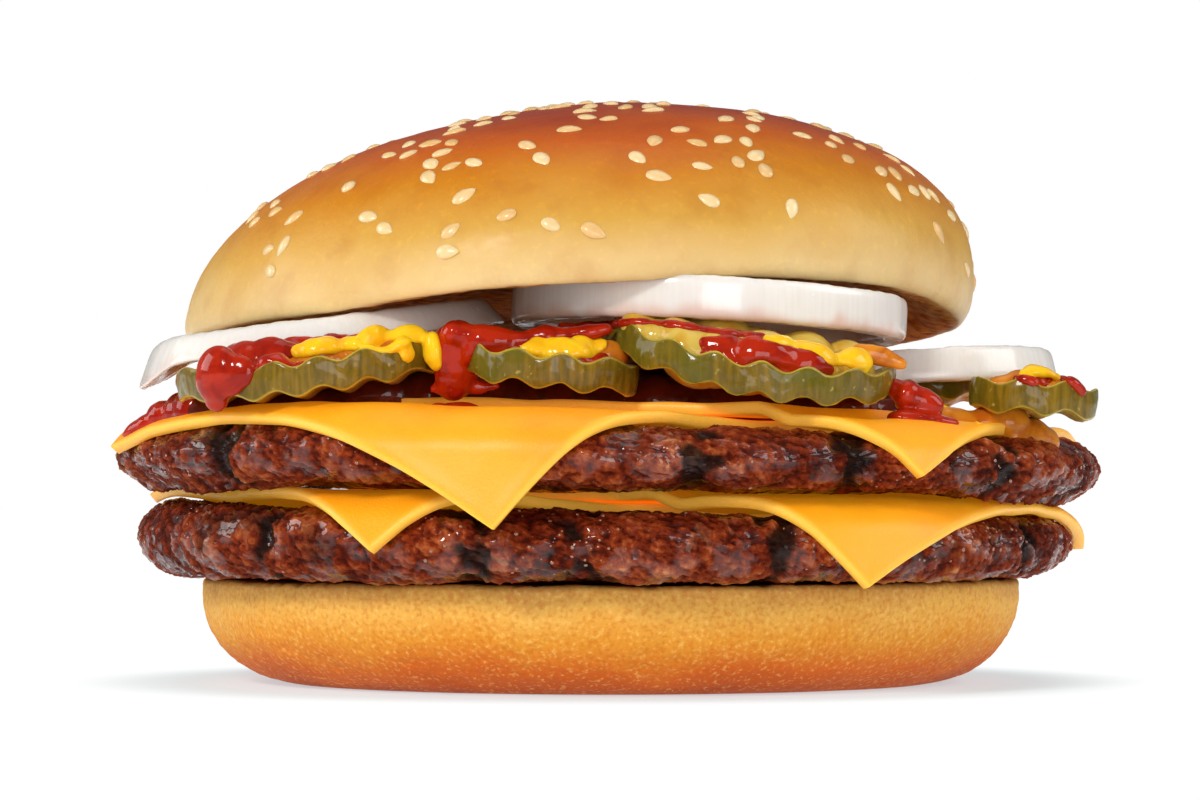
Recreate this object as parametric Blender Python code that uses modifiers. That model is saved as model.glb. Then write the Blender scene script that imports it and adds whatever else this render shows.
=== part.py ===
"""Double cheeseburger on a sesame bun, in metres, +Z up.

The origin is the middle of the heel's flat base. The front is towards -Y and the right towards +X.
From the base up: heel, lower patty with two slices of cheese, upper patty with two more, pickle chips,
ketchup and mustard, onion rings, and the crown. Each piece rests on the pile below it.
"""

import math
from dataclasses import dataclass

import bpy
import numpy as np
from mathutils import Vector, noise
from mathutils.bvhtree import BVHTree

# ---- driving dimensions ---------------------------------------------------------------------------
GAP = 0.0003  # clearance that every piece keeps to its neighbours

HEEL_RADIUS = 0.0600
HEEL_BASE_RADIUS = 0.0450
HEEL_HEIGHT = 0.0153
HEEL_CURVE_HEIGHT = 0.0130  # of the round between the base and the side
HEEL_CUT_EDGE = 0.0009  # bevel of the cut face's edge
HEEL_WAVES = ((2, 0.006, 0.7), (3, 0.004, 2.0))  # unevenness of the outline, as waves() takes it

CROWN_RADIUS = 0.0577
CROWN_HEIGHT = 0.0296  # above the widest level
CROWN_LIP = 0.0030  # below the widest level
CROWN_LIP_INSET = 0.0014
CROWN_HOLLOW = 0.0055  # how far the soft cut face yields to the toppings
CROWN_HOLLOW_CURVE = ((0.93, 0.0), (0.80, 0.8), (0.55, 1.0), (0.0, 1.0))  # share of the radius, of the depth
CROWN_LEAN = 0.0075  # how far the top stands to the right of the rim
CROWN_CENTRE = (-0.0049, -0.0010)
CROWN_PITCH = math.radians(-4.2)  # the front is lifted
CROWN_ROLL = math.radians(1.4)  # the right side is lifted
CROWN_RISES = ((20, 0.0028), (-80, 0.0011))  # azimuth and height where the rim bends up over a ring
CROWN_RISE_SPREAD = (28, 62)  # degrees beside the azimuth where the rise starts to fade, and has faded
CROWN_WAVES = ((2, 0.004, 2.1), (3, 0.004, 0.4))

SLICE_SIDE = 0.0835
SLICE_THICKNESS = 0.0016
SLICE_BOW = 0.015  # share of the side by which each melted edge bulges
SLICE_GAP = 1.6 * GAP  # from the middle of the flat meat, so that the facets of its rim stay clear

CHIP_THICKNESS = 0.0043
CHIP_WAVE_LENGTH = 0.0062
CHIP_WAVE_HEIGHT = 0.00055

RING_WALL = 0.0036
RING_SQUARENESS = 0.45  # power that fills out the round section: 1 is round, 0 is square

MEAT_GRAIN = 160.0  # lumps of minced meat per metre, about
MEAT_PITS = (0.0002, 0.0011)  # least depth cut into the rim, and how much deeper the deepest pit goes


# ---- small tools ----------------------------------------------------------------------------------
def smoothstep(low, high, value):
    """0 below low, 1 above high, and a smooth rise between them."""
    share = np.clip((value - low) / (high - low), 0.0, 1.0)
    return share * share * (3.0 - 2.0 * share)


def waves(azimuth, terms):
    """Sum of sine waves round an outline. Each term is the count of waves, their height and phase."""
    return sum(height * np.sin(count * azimuth + phase) for count, height, phase in terms)


def points_of(mesh):
    """The mesh's vertices as an array of rows."""
    flat = np.empty(len(mesh.vertices) * 3, np.float32)
    mesh.vertices.foreach_get("co", flat)
    return flat.reshape(-1, 3).astype(np.float64)


def set_points(mesh, points):
    """Moves the mesh's vertices to these rows."""
    mesh.vertices.foreach_set("co", points.astype(np.float32).ravel())
    mesh.update()


def material(name, colour, roughness):
    """A plain material of one colour."""
    made = bpy.data.materials.new(name)
    made.use_nodes = True
    shader = made.node_tree.nodes["Principled BSDF"]
    shader.inputs["Base Color"].default_value = (*colour, 1.0)
    shader.inputs["Roughness"].default_value = roughness
    shader.inputs["Metallic"].default_value = 0.0
    return made


def add_piece(name, mesh, finish, location=(0.0, 0.0, 0.0)):
    """A named object of the burger, with its own material."""
    piece = bpy.data.objects.new(name, mesh)
    piece.location = location
    mesh.materials.clear()
    mesh.materials.append(finish)
    mesh.shade_smooth()
    bpy.data.collections["double_cheeseburger"].objects.link(piece)
    return piece


def baked_mesh(source, name):
    """The mesh of an object with its modifiers applied. The object is removed."""
    bpy.context.scene.collection.objects.link(source)
    bpy.context.view_layer.update()
    graph = bpy.context.evaluated_depsgraph_get()
    made = bpy.data.meshes.new_from_object(source.evaluated_get(graph))
    bpy.data.objects.remove(source)
    made.name = name
    return made


def turned_mesh(name, profile, steps):
    """A closed mesh turned about Z from (radius, height) points that run down its outer side."""
    line = bpy.data.meshes.new(name + "_profile")
    edges = [(k, k + 1) for k in range(len(profile) - 1)]
    line.from_pydata([(radius, 0.0, height) for radius, height in profile], edges, [])
    guide = bpy.data.objects.new(name + "_profile", line)
    turn = guide.modifiers.new("Turn", "SCREW")
    turn.steps = turn.render_steps = steps
    turn.use_merge_vertices = True
    turn.merge_threshold = 0.00001
    return baked_mesh(guide, name)


def ellipse_arc(centre, reach, first, last, count):
    """Points on an ellipse, from one angle to another, measured from straight up towards the outside."""
    angles = np.radians(np.linspace(first, last, count))
    return [
        (centre[0] + reach[0] * math.sin(a), centre[1] + reach[1] * math.cos(a))
        for a in angles
    ]


# ---- the pile -------------------------------------------------------------------------------------
class Pile:
    """The pieces laid so far, which the next one comes to rest on."""

    DROP_HEIGHT = 0.2

    def __init__(self):
        self.trees = []
        self.samples = []

    @staticmethod
    def shape_of(piece):
        """World-space points and faces of the piece, with its modifiers."""
        bpy.context.view_layer.update()
        graph = bpy.context.evaluated_depsgraph_get()
        evaluated = piece.evaluated_get(graph)
        mesh = evaluated.to_mesh()
        points = [evaluated.matrix_world @ vertex.co for vertex in mesh.vertices]
        faces = [tuple(face.vertices) for face in mesh.polygons]
        evaluated.to_mesh_clear()
        return points, faces

    @staticmethod
    def samples_of(points, faces):
        """Corners, edge middles and face middles, to measure clearances from."""
        middles = [sum((points[k] for k in face), Vector()) / len(face) for face in faces]
        edges = {
            tuple(sorted((face[k - 1], face[k])))
            for face in faces
            for k in range(len(face))
        }
        return points + middles + [(points[a] + points[b]) / 2 for a, b in sorted(edges)]

    def add(self, piece):
        """Counts the piece, where it now is, as part of the pile."""
        points, faces = self.shape_of(piece)
        self.trees.append(BVHTree.FromPolygons(points, faces))
        self.samples.append(self.samples_of(points, faces))

    def top(self, x, y):
        """Height of the pile's upper surface at a place, or None beside it."""
        start = Vector((x, y, self.DROP_HEIGHT))
        hits = [tree.ray_cast(start, Vector((0, 0, -1)))[0] for tree in self.trees]
        heights = [hit.z for hit in hits if hit is not None]
        return max(heights) if heights else None

    def rest(self, piece, clearance=GAP):
        """Lowers the piece straight down until it stands this far above the pile, and adds it."""
        piece.location.z += self.DROP_HEIGHT
        points, faces = self.shape_of(piece)
        own_tree = BVHTree.FromPolygons(points, faces)
        down, up = Vector((0, 0, -1)), Vector((0, 0, 1))
        room = []
        for point in self.samples_of(points, faces):
            room += [tree.ray_cast(point, down)[3] for tree in self.trees]
        for samples in self.samples:
            room += [own_tree.ray_cast(point, up)[3] for point in samples]
        piece.location.z -= min(gap for gap in room if gap is not None) - clearance
        self.add(piece)
        return piece


# ---- bun ------------------------------------------------------------------------------------------
def make_heel():
    """The bottom half of the bun: flat base, rounded foot, upright side and a flat cut face."""
    foot = (HEEL_RADIUS - HEEL_BASE_RADIUS, HEEL_CURVE_HEIGHT)
    profile = [(0.0, HEEL_HEIGHT), (HEEL_RADIUS / 2, HEEL_HEIGHT)]
    profile += [(HEEL_RADIUS - HEEL_CUT_EDGE, HEEL_HEIGHT), (HEEL_RADIUS, HEEL_HEIGHT - HEEL_CUT_EDGE)]
    profile += ellipse_arc((HEEL_BASE_RADIUS, HEEL_CURVE_HEIGHT), foot, 90, 180, 6)
    profile += [(0.0, 0.0)]
    mesh = turned_mesh("heel", profile, 38)
    points = points_of(mesh)
    azimuth = np.arctan2(points[:, 0], -points[:, 1])
    points[:, :2] *= 1 + waves(azimuth, HEEL_WAVES)[:, None]
    set_points(mesh, points)
    return add_piece("heel", mesh, material("heel_crust", (0.72, 0.36, 0.10), 0.6))


def make_crown():
    """The top half of the bun: a full dome whose top leans to the right, over a hollow cut face."""
    dome = []
    for share in np.linspace(0.0, 1.0, 10):
        height = math.cos(share * math.pi / 2) ** 0.9
        dome.append((CROWN_RADIUS * math.sqrt(1 - height**2.2), CROWN_HEIGHT * height))
    lip = ellipse_arc(
        (CROWN_RADIUS - CROWN_LIP_INSET, 0.0), (CROWN_LIP_INSET, CROWN_LIP), 130, 180, 2
    )
    face = [
        (CROWN_RADIUS * reach, CROWN_HOLLOW * share - CROWN_LIP)
        for reach, share in CROWN_HOLLOW_CURVE
    ]
    mesh = turned_mesh("crown", dome + lip + face, 42)
    points = points_of(mesh)
    azimuth = np.arctan2(points[:, 0], -points[:, 1])
    points[:, :2] *= 1 + waves(azimuth, CROWN_WAVES)[:, None]
    rise = np.clip((points[:, 2] + CROWN_LIP) / (CROWN_HEIGHT + CROWN_LIP), 0.0, 1.0)
    points[:, 0] += CROWN_LEAN * rise
    outwards = smoothstep(0.5, 1.0, np.hypot(*points[:, :2].T) / CROWN_RADIUS)
    low_down = 1 - smoothstep(0.0, 0.55, rise)
    for middle, bend in CROWN_RISES:
        beside = np.abs(np.degrees(azimuth) - middle)
        over_ring = (1 - smoothstep(*CROWN_RISE_SPREAD, beside)) * outwards
        points[:, 2] += bend * over_ring * low_down
    set_points(mesh, points)
    crown = add_piece("crown", mesh, material("crown_crust", (0.74, 0.36, 0.09), 0.4))
    crown.location = (*CROWN_CENTRE, 0.0)
    crown.rotation_euler = (CROWN_PITCH, -CROWN_ROLL, 0.0)
    return crown


# ---- patties and cheese ---------------------------------------------------------------------------
@dataclass(frozen=True)
class Patty:
    """A grilled patty. It is laid out round and level first, and then bent to its uneven outline.

    The cheese on it is laid out and bent with it, so that it lies close. Heights are from the underside.
    """

    name: str
    centre: tuple
    radius: float
    thickness: float
    shoulder: float  # how far in from the rim the top starts to fall
    foot: float  # how far in from the rim the underside starts to rise
    slope_top: float  # rise of the top towards +X
    slope_base: float  # rise of the underside towards +X
    dish_top: float  # height of the middle of the top over its rim
    dish_base: float  # height of the middle of the underside over its rim
    left_fall: float  # how much lower the top lies at the left
    phase: float  # sets its own unevenness

    def profile(self):
        """Outline from the middle of the top, over the rim, to the middle of the underside."""
        half = self.thickness / 2
        flat_top = self.radius - self.shoulder
        flat_base = self.radius - self.foot
        over = ellipse_arc((flat_top, half), (self.shoulder, half), 0, 90, 5)
        under = ellipse_arc((flat_base, half), (self.foot, half), 90, 180, 4)
        top = [(0.0, self.thickness), (flat_top * 0.6, self.thickness), (flat_top * 0.86, self.thickness)]
        return top + over + under[1:] + [(flat_base * 0.84, 0.0), (flat_base * 0.6, 0.0), (0.0, 0.0)]

    def bend(self, points):
        """Takes points from the round, level layout to the patty's real shape."""
        x, y, z = points.T
        azimuth = np.arctan2(x, -y)
        reach = np.hypot(x, y) / self.radius
        terms = ((2, 0.010, self.phase), (3, 0.008, 2 * self.phase), (7, 0.005, 3 * self.phase))
        grow = 1 + waves(azimuth, terms) * smoothstep(0.5, 1.0, reach)
        level = np.clip(z / self.thickness, 0.0, 1.0)
        middle = 1 - smoothstep(0.76, 0.97, reach)
        lift = x * (self.slope_base + (self.slope_top - self.slope_base) * level)
        lift += middle * (self.dish_base + (self.dish_top - self.dish_base) * level)
        leftwards = smoothstep(0.55, 1.0, -x / self.radius)
        lift -= self.left_fall * leftwards * level
        return np.column_stack((x * grow, y * grow, z + lift))

    def craggy(self, points):
        """Cuts the coarse grain of the minced meat into the rim, inwards only."""
        shallowest, spread = MEAT_PITS
        own_spot = Vector((self.phase * 7, 0.0, 0.0))
        lumps = [noise.noise(Vector(point) * MEAT_GRAIN + own_spot) for point in points]
        distance = np.hypot(points[:, 0], points[:, 1])
        depth = shallowest + spread * (0.5 + 0.5 * np.array(lumps))
        depth *= smoothstep(0.75, 0.95, distance / self.radius)
        level = points[:, 2] / (self.thickness / 2) - 1.0
        inwards = -points[:, :2] / np.maximum(distance, GAP)[:, None]
        return points + depth[:, None] * np.column_stack((inwards, -level))

    def make(self):
        """The patty's solid."""
        mesh = turned_mesh(self.name, self.profile(), 44)
        set_points(mesh, self.bend(self.craggy(points_of(mesh))))
        return add_piece(self.name, mesh, material(self.name + "_meat", (0.13, 0.05, 0.025), 0.45))


@dataclass(frozen=True)
class Slice:
    """A square slice of melted cheese on a patty. Its plan is flat, as if it didn't bend over the rim."""

    name: str
    patty: Patty
    corner: tuple  # plan place of its front corner, from the patty's middle
    heading: float  # direction of the edge to the corner on its right, from +X towards +Y
    steepest: float  # of its front hanging corner, from the level
    steepest_beside: float  # of the corner that hangs at its side
    under: object = None  # the slice that lies below it

    CELLS = 22
    KEPT_SHARE = 0.29
    LIFT_FADE = (0.0028, 0.0075)  # distance beside the lower slice where it starts to settle, and lies
    BESIDE = (10, 50)  # degrees from the front corner where the other corner's steepness sets in, and rules

    def axes(self):
        """The two edge directions from the front corner."""
        along = np.array((math.cos(self.heading), math.sin(self.heading)))
        return along, np.array((-along[1], along[0]))

    def plan(self, u, v):
        """Plan place of the shares u and v of the two sides, with the bulge of the melted edges."""
        wide = 0.5 + (u - 0.5) * (1 + 8 * SLICE_BOW * v * (1 - v))
        deep = 0.5 + (v - 0.5) * (1 + 8 * SLICE_BOW * u * (1 - u))
        along, across = self.axes()
        place = np.array(self.corner)
        return place + SLICE_SIDE * (wide[:, None] * along + deep[:, None] * across)

    def outside(self, places):
        """How far plan places lie outside the slice, negative inside."""
        along, across = self.axes()
        offset = (places - np.array(self.corner)) / SLICE_SIDE - 0.5 * (along + across)
        reach = np.maximum(np.abs(offset @ along), np.abs(offset @ across))
        return (reach - 0.5 - SLICE_BOW) * SLICE_SIDE

    def path(self, steepest):
        """Length, radius, height and normal along the way from the middle, over the rim and down."""
        patty = self.patty
        offset = SLICE_GAP + SLICE_THICKNESS / 2
        half = patty.thickness / 2
        angle = np.linspace(0.0, math.pi / 2, 91)
        run, fall = patty.shoulder + offset, half + offset
        pitch = np.arctan2(fall * np.sin(angle), run * np.cos(angle))
        kept = pitch <= steepest
        flat = patty.radius - patty.shoulder
        over = np.column_stack((flat + run * np.sin(angle), half + fall * np.cos(angle)))[kept]
        down = over[-1] + 0.05 * np.array((math.cos(steepest), -math.sin(steepest)))
        way = np.vstack(((0.0, half + fall), over, down))
        normal = np.column_stack((np.sin(pitch[kept]), np.cos(pitch[kept])))
        normal = np.vstack(((0.0, 1.0), normal, normal[-1]))
        length = np.concatenate(((0.0,), np.cumsum(np.hypot(*np.diff(way, axis=0).T))))
        return length, np.column_stack((way, normal))

    def drape(self, places):
        """Lays plan places on the patty's top, over its shoulder and down."""
        distance = np.hypot(*places.T)
        azimuth = np.arctan2(places[:, 0], -places[:, 1])
        front = math.atan2(self.corner[0], -self.corner[1])
        beside = smoothstep(*self.BESIDE, np.degrees(np.abs(azimuth - front)))
        laid = []
        for steepest in (self.steepest, self.steepest_beside):
            length, rows = self.path(steepest)
            laid.append(np.array([np.interp(distance, length, column) for column in rows.T]))
        radius, height, out, up = laid[0] * (1 - beside) + laid[1] * beside
        lift = self.lift(places)
        radius = radius + lift * out
        height = height + lift * up
        return np.column_stack((radius * np.sin(azimuth), -radius * np.cos(azimuth), height))

    def lift(self, places):
        """How far the slice stands off the patty to pass over the slice below it."""
        if self.under is None:
            return np.zeros(len(places))
        beside = self.under.outside(places)
        return (SLICE_THICKNESS + SLICE_GAP) * (1 - smoothstep(*self.LIFT_FADE, beside))

    def make(self, location):
        """The slice's solid: a draped grid, thinned where it is flat, and given its thickness."""
        bpy.ops.mesh.primitive_grid_add(x_subdivisions=self.CELLS, y_subdivisions=self.CELLS, size=1.0)
        grid = bpy.context.object
        mesh = grid.data
        shares = points_of(mesh)[:, :2] + 0.5
        laid = self.drape(self.plan(shares[:, 0], shares[:, 1]))
        set_points(mesh, self.patty.bend(laid))
        bpy.data.objects.remove(grid)
        piece = add_piece(self.name, mesh, material(self.name + "_finish", (0.95, 0.46, 0.03), 0.35))
        piece.location = location
        thin = piece.modifiers.new("Fewer faces", "DECIMATE")
        thin.ratio = self.KEPT_SHARE
        thick = piece.modifiers.new("Thickness", "SOLIDIFY")
        thick.thickness = SLICE_THICKNESS
        thick.offset = 0.0
        return piece


# ---- pickles --------------------------------------------------------------------------------------
@dataclass(frozen=True)
class Chip:
    """A crinkle-cut pickle chip. Pitch lifts its front, roll its right side, and turn its ridges."""

    name: str
    place: tuple
    radius: float
    pitch: float = 0.0
    roll: float = 0.0
    turn: float = 0.0
    bend: float = 0.0  # curvature by which the ends of its ridges' row rise, per metre
    phase: float = 0.0

    COLUMNS_PER_METRE = 720
    LAST_COLUMN = 0.985  # share of the radius where the strip ends, so that it still has some width

    def make(self):
        """A strip of cross-wise cells, shaped to a round outline with waves, and given its thickness."""
        columns = round(2 * self.radius * self.COLUMNS_PER_METRE)
        bpy.ops.mesh.primitive_grid_add(x_subdivisions=columns, y_subdivisions=1, size=2.0)
        grid = bpy.context.object
        mesh = grid.data
        points = points_of(mesh)
        across = self.LAST_COLUMN * np.sin(points[:, 0] * math.pi / 2)
        outline = self.radius * (1 + 0.025 * np.sin(3 * across + 5 * self.phase))
        x = across * self.radius
        y = np.sign(points[:, 1]) * np.sqrt(1 - across**2) * outline
        z = CHIP_WAVE_HEIGHT * np.sin(2 * math.pi * (x / CHIP_WAVE_LENGTH + self.phase))
        z += self.bend * x**2
        set_points(mesh, np.column_stack((x, y, z)))
        bpy.data.objects.remove(grid)
        piece = add_piece(self.name, mesh, material(self.name + "_finish", (0.22, 0.21, 0.03), 0.3))
        piece.location = (*self.place, 0.0)
        piece.rotation_mode = "ZXY"
        piece.rotation_euler = (-self.pitch, -self.roll, self.turn)
        thick = piece.modifiers.new("Thickness", "SOLIDIFY")
        thick.thickness = CHIP_THICKNESS
        thick.offset = 0.0
        return piece


# ---- onion ----------------------------------------------------------------------------------------
@dataclass(frozen=True)
class Ring:
    """A raw onion ring: an upright band with rounded edges, wider below, whose left end may sag."""

    name: str
    place: tuple
    radius: float
    height: float
    pitch: float = 0.0
    roll: float = 0.0
    flare: float = 0.0  # how much wider the foot is than the top
    sag: float = 0.0
    phase: float = 0.0

    def make(self):
        """A torus whose round section is squared off, slightly oval and wavy."""
        tube = 0.25
        bpy.ops.mesh.primitive_torus_add(
            major_segments=26, minor_segments=8, major_radius=1.0, minor_radius=tube
        )
        torus = bpy.context.object
        mesh = torus.data
        x, y, z = points_of(mesh).T
        azimuth = np.arctan2(x, -y)
        side, up = (np.hypot(x, y) - 1.0) / tube, z / tube
        side, up = (np.sign(part) * np.abs(part) ** RING_SQUARENESS for part in (side, up))
        terms = ((2, 0.03, self.phase), (5, 0.012, self.phase))
        middle = (self.radius - RING_WALL / 2) * (1 + waves(azimuth, terms))
        radius = middle + (side * RING_WALL - up * self.flare) / 2
        x, y = radius * np.sin(azimuth), -radius * np.cos(azimuth)
        height = up * self.height / 2
        height -= self.sag * smoothstep(0.72, 1.05, -x / self.radius) * (3 - up) / 4
        set_points(mesh, np.column_stack((x, y, height)))
        bpy.data.objects.remove(torus)
        piece = add_piece(self.name, mesh, material(self.name + "_finish", (0.85, 0.84, 0.78), 0.25))
        piece.location = (*self.place, 0.0)
        piece.rotation_mode = "ZXY"
        piece.rotation_euler = (-self.pitch, -self.roll, 0.0)
        return piece


# ---- sauces ---------------------------------------------------------------------------------------
@dataclass(frozen=True)
class Dollop:
    """A dollop of sauce: a low rounded pat that follows the pile below it and bridges its steps."""

    name: str
    place: tuple
    reach: tuple  # half its length and half its width
    thickness: float
    heading: float = 0.0

    STEEPEST = 1.1  # slope at which the sauce runs down from an edge
    LEDGE = 0.0008  # how far it keeps level beyond an edge
    MARGIN = 0.004
    SPACING = 0.0008  # of the places where the ground is felt

    def ground(self, pile):
        """Places and heights of the pile's top under the dollop and close to it."""
        furthest = max(self.reach) + self.MARGIN
        span = np.arange(-furthest, furthest, self.SPACING)
        rows = []
        for x in self.place[0] + span:
            for y in self.place[1] + span:
                top = pile.top(x, y)
                if top is not None:
                    rows.append((x, y, top))
        return np.array(rows)

    def make(self, pile, finish):
        """A squashed ball, draped over the pile."""
        bpy.ops.mesh.primitive_ico_sphere_add(subdivisions=2, radius=1.0)
        ball = bpy.context.object
        mesh = ball.data
        x, y, z = points_of(mesh).T
        cosine, sine = math.cos(self.heading), math.sin(self.heading)
        long, wide = x * self.reach[0], y * self.reach[1]
        places = np.column_stack((long * cosine - wide * sine, long * sine + wide * cosine))
        places += np.array(self.place)
        ground = self.ground(pile)
        away = np.hypot(places[:, None, 0] - ground[:, 0], places[:, None, 1] - ground[:, 1])
        reach = ground[:, 2] - self.STEEPEST * np.maximum(0.0, away - self.LEDGE)
        height = reach.max(axis=1) + self.thickness * ((z + 1) / 2) ** 0.8
        set_points(mesh, np.column_stack((places, height)))
        bpy.data.objects.remove(ball)
        return add_piece(self.name, mesh, finish)


# ---- the burger -----------------------------------------------------------------------------------
LOWER_PATTY = Patty(
    name="patty_lower",
    centre=(-0.0010, 0.0),
    radius=0.0693,
    thickness=0.0113,
    shoulder=0.0100,
    foot=0.0070,
    slope_top=-0.0165,
    slope_base=0.0,
    dish_top=-0.0024,
    dish_base=0.0,
    left_fall=0.0,
    phase=0.8,
)
UPPER_PATTY = Patty(
    name="patty_upper",
    centre=(0.0, 0.0),
    radius=0.0728,
    thickness=0.0103,
    shoulder=0.0100,
    foot=0.0070,
    slope_top=-0.0280,
    slope_base=-0.0170,
    dish_top=-0.0014,
    dish_base=0.0033,
    left_fall=0.0025,
    phase=2.3,
)

CHEESE_LOWER_LEFT = Slice(
    name="cheese_lower_left",
    patty=LOWER_PATTY,
    corner=(-0.0328, -0.0686),
    heading=math.radians(25),
    steepest=math.radians(62),
    steepest_beside=math.radians(55),
)
CHEESE_LOWER_RIGHT = Slice(
    name="cheese_lower_right",
    patty=LOWER_PATTY,
    corner=(0.0389, -0.0706),
    heading=math.radians(64),
    steepest=math.radians(72),
    steepest_beside=math.radians(84),
    under=CHEESE_LOWER_LEFT,
)
CHEESE_UPPER_LEFT = Slice(
    name="cheese_upper_left",
    patty=UPPER_PATTY,
    corner=(-0.0178, -0.0854),
    heading=math.radians(41.3),
    steepest=math.radians(80),
    steepest_beside=math.radians(50),
)
CHEESE_UPPER_RIGHT = Slice(
    name="cheese_upper_right",
    patty=UPPER_PATTY,
    corner=(0.0444, -0.0656),
    heading=math.radians(71.5),
    steepest=math.radians(70),
    steepest_beside=math.radians(60),
    under=CHEESE_UPPER_LEFT,
)


def tilted(pitch, roll):
    """How a chip or ring lies, in degrees: pitch lifts its front and roll its right side."""
    return {"pitch": math.radians(pitch), "roll": math.radians(roll)}


CHIPS = (
    Chip("pickle_middle", (-0.0080, -0.0505), 0.0118, **tilted(-3, -6)),
    Chip("pickle_left", (-0.0410, -0.0410), 0.0190, **tilted(0, 7.5), bend=4.0),
    Chip("pickle_right", (0.0186, -0.0455), 0.0199, **tilted(-3, -10.2), bend=6.0, phase=0.03),
    Chip("pickle_far_right", (0.0588, -0.0350), 0.0088, **tilted(1, -4), phase=0.6),
    Chip("pickle_inner_left", (-0.0165, -0.0180), 0.0110, **tilted(1, 2), phase=0.59),
    Chip("pickle_inner_right", (0.0460, -0.0125), 0.0110, **tilted(3, 2), phase=0.4),
    Chip("pickle_back_left", (-0.0330, 0.0300), 0.0170, **tilted(0, 0), turn=math.radians(-50)),
    Chip("pickle_back_right", (0.0160, 0.0400), 0.0175, **tilted(7, 0), turn=math.radians(15)),
)
RINGS = (
    Ring("onion_right", (0.0433, -0.0080), 0.0216, 0.0050, **tilted(3.5, 4.0), flare=0.0008, phase=1.0),
    Ring("onion_left", (-0.0415, -0.0250), 0.0252, 0.0040, **tilted(-2, 7.3), flare=0.0030, sag=0.003),
    Ring("onion_front", (0.0141, -0.0275), 0.0286, 0.0060, **tilted(2.2, -2.6), phase=2.0),
)
KETCHUP = (
    Dollop("ketchup_left", (-0.0490, -0.0560), (0.0075, 0.0040), 0.0022, heading=math.radians(-18)),
    Dollop("ketchup_middle", (-0.0200, -0.0555), (0.0062, 0.0050), 0.0022, heading=math.radians(-20)),
    Dollop("ketchup_right", (0.0210, -0.0605), (0.0080, 0.0030), 0.0018, heading=math.radians(2)),
    Dollop("ketchup_on_cheese", (0.0440, -0.0455), (0.0048, 0.0042), 0.0020, heading=math.radians(-30)),
    Dollop("ketchup_far_right", (0.0610, -0.0350), (0.0062, 0.0036), 0.0022, heading=math.radians(30)),
)
MUSTARD = (
    Dollop("mustard_left", (-0.0385, -0.0560), (0.0040, 0.0026), 0.0014),
    Dollop("mustard_middle_left", (-0.0290, -0.0545), (0.0050, 0.0034), 0.0022, heading=math.radians(12)),
    Dollop("mustard_middle", (-0.0085, -0.0565), (0.0050, 0.0028), 0.0016, heading=math.radians(-4)),
    Dollop("mustard_right", (0.0300, -0.0565), (0.0055, 0.0030), 0.0018, heading=math.radians(25)),
    Dollop("mustard_on_cheese", (0.0505, -0.0440), (0.0038, 0.0034), 0.0018, heading=math.radians(-20)),
    Dollop("mustard_far_right", (0.0575, -0.0345), (0.0030, 0.0022), 0.0014),
)


def make_layer(pile, patty, slices):
    """A patty at rest on the pile, with its slices of cheese."""
    meat = patty.make()
    meat.location = (*patty.centre, 0.0)
    pile.rest(meat)
    for cheese in slices:
        pile.add(cheese.make(meat.location))


def main():
    """Builds the burger from the base up."""
    for old in list(bpy.data.objects):
        bpy.data.objects.remove(old)
    bpy.context.scene.collection.children.link(bpy.data.collections.new("double_cheeseburger"))
    pile = Pile()
    pile.add(make_heel())
    make_layer(pile, LOWER_PATTY, (CHEESE_LOWER_LEFT, CHEESE_LOWER_RIGHT))
    make_layer(pile, UPPER_PATTY, (CHEESE_UPPER_LEFT, CHEESE_UPPER_RIGHT))
    for chip in CHIPS:
        pile.rest(chip.make())
    for dollop in KETCHUP:
        pile.rest(dollop.make(pile, material(dollop.name + "_finish", (0.45, 0.02, 0.01), 0.2)))
    for dollop in MUSTARD:
        pile.rest(dollop.make(pile, material(dollop.name + "_finish", (0.90, 0.55, 0.01), 0.25)))
    for ring in RINGS:
        pile.rest(ring.make())
    pile.rest(make_crown())


main()
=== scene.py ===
"""Looks of a double cheeseburger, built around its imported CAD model, in metres, +Z up.

The front is towards -Y and the right towards +X. One class makes each kind of piece as a fine mesh in the
place of its CAD node, and another one makes its finish. The floor, lights and camera come last.
"""

import logging
import math
from dataclasses import dataclass, field
from enum import Enum
from functools import partial

import bpy
import numpy as np
from mathutils import Euler, Matrix, Vector
from mathutils.bvhtree import BVHTree


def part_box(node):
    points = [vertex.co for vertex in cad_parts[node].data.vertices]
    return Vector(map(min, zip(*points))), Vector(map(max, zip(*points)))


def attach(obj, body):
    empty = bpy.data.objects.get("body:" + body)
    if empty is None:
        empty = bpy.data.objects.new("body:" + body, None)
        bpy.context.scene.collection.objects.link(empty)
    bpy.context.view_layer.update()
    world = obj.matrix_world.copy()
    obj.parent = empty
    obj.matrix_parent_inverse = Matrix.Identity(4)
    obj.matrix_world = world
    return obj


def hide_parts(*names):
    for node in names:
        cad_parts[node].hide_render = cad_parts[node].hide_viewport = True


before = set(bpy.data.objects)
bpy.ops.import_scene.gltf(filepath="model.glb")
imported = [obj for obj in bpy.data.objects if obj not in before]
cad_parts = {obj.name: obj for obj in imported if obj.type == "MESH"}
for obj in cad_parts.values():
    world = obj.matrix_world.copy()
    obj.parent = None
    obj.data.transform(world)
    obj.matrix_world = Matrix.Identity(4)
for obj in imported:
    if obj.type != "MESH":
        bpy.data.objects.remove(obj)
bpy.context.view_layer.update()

logging.basicConfig(level=logging.INFO, format="%(levelname)s %(message)s")
LOG = logging.getLogger("burger")

Array = np.ndarray
Colour = tuple[float, float, float]
Point = tuple[float, float, float]

MM = 0.001
COARSENESS = 1.0


# ---- numbers --------------------------------------------------------------------------------------
def smoothstep(low: float, high: float, value: Array) -> Array:
    """Rises smoothly from 0 at low to 1 at high."""
    share = np.clip((value - low) / (high - low), 0.0, 1.0)
    return share * share * (3.0 - 2.0 * share)


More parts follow.
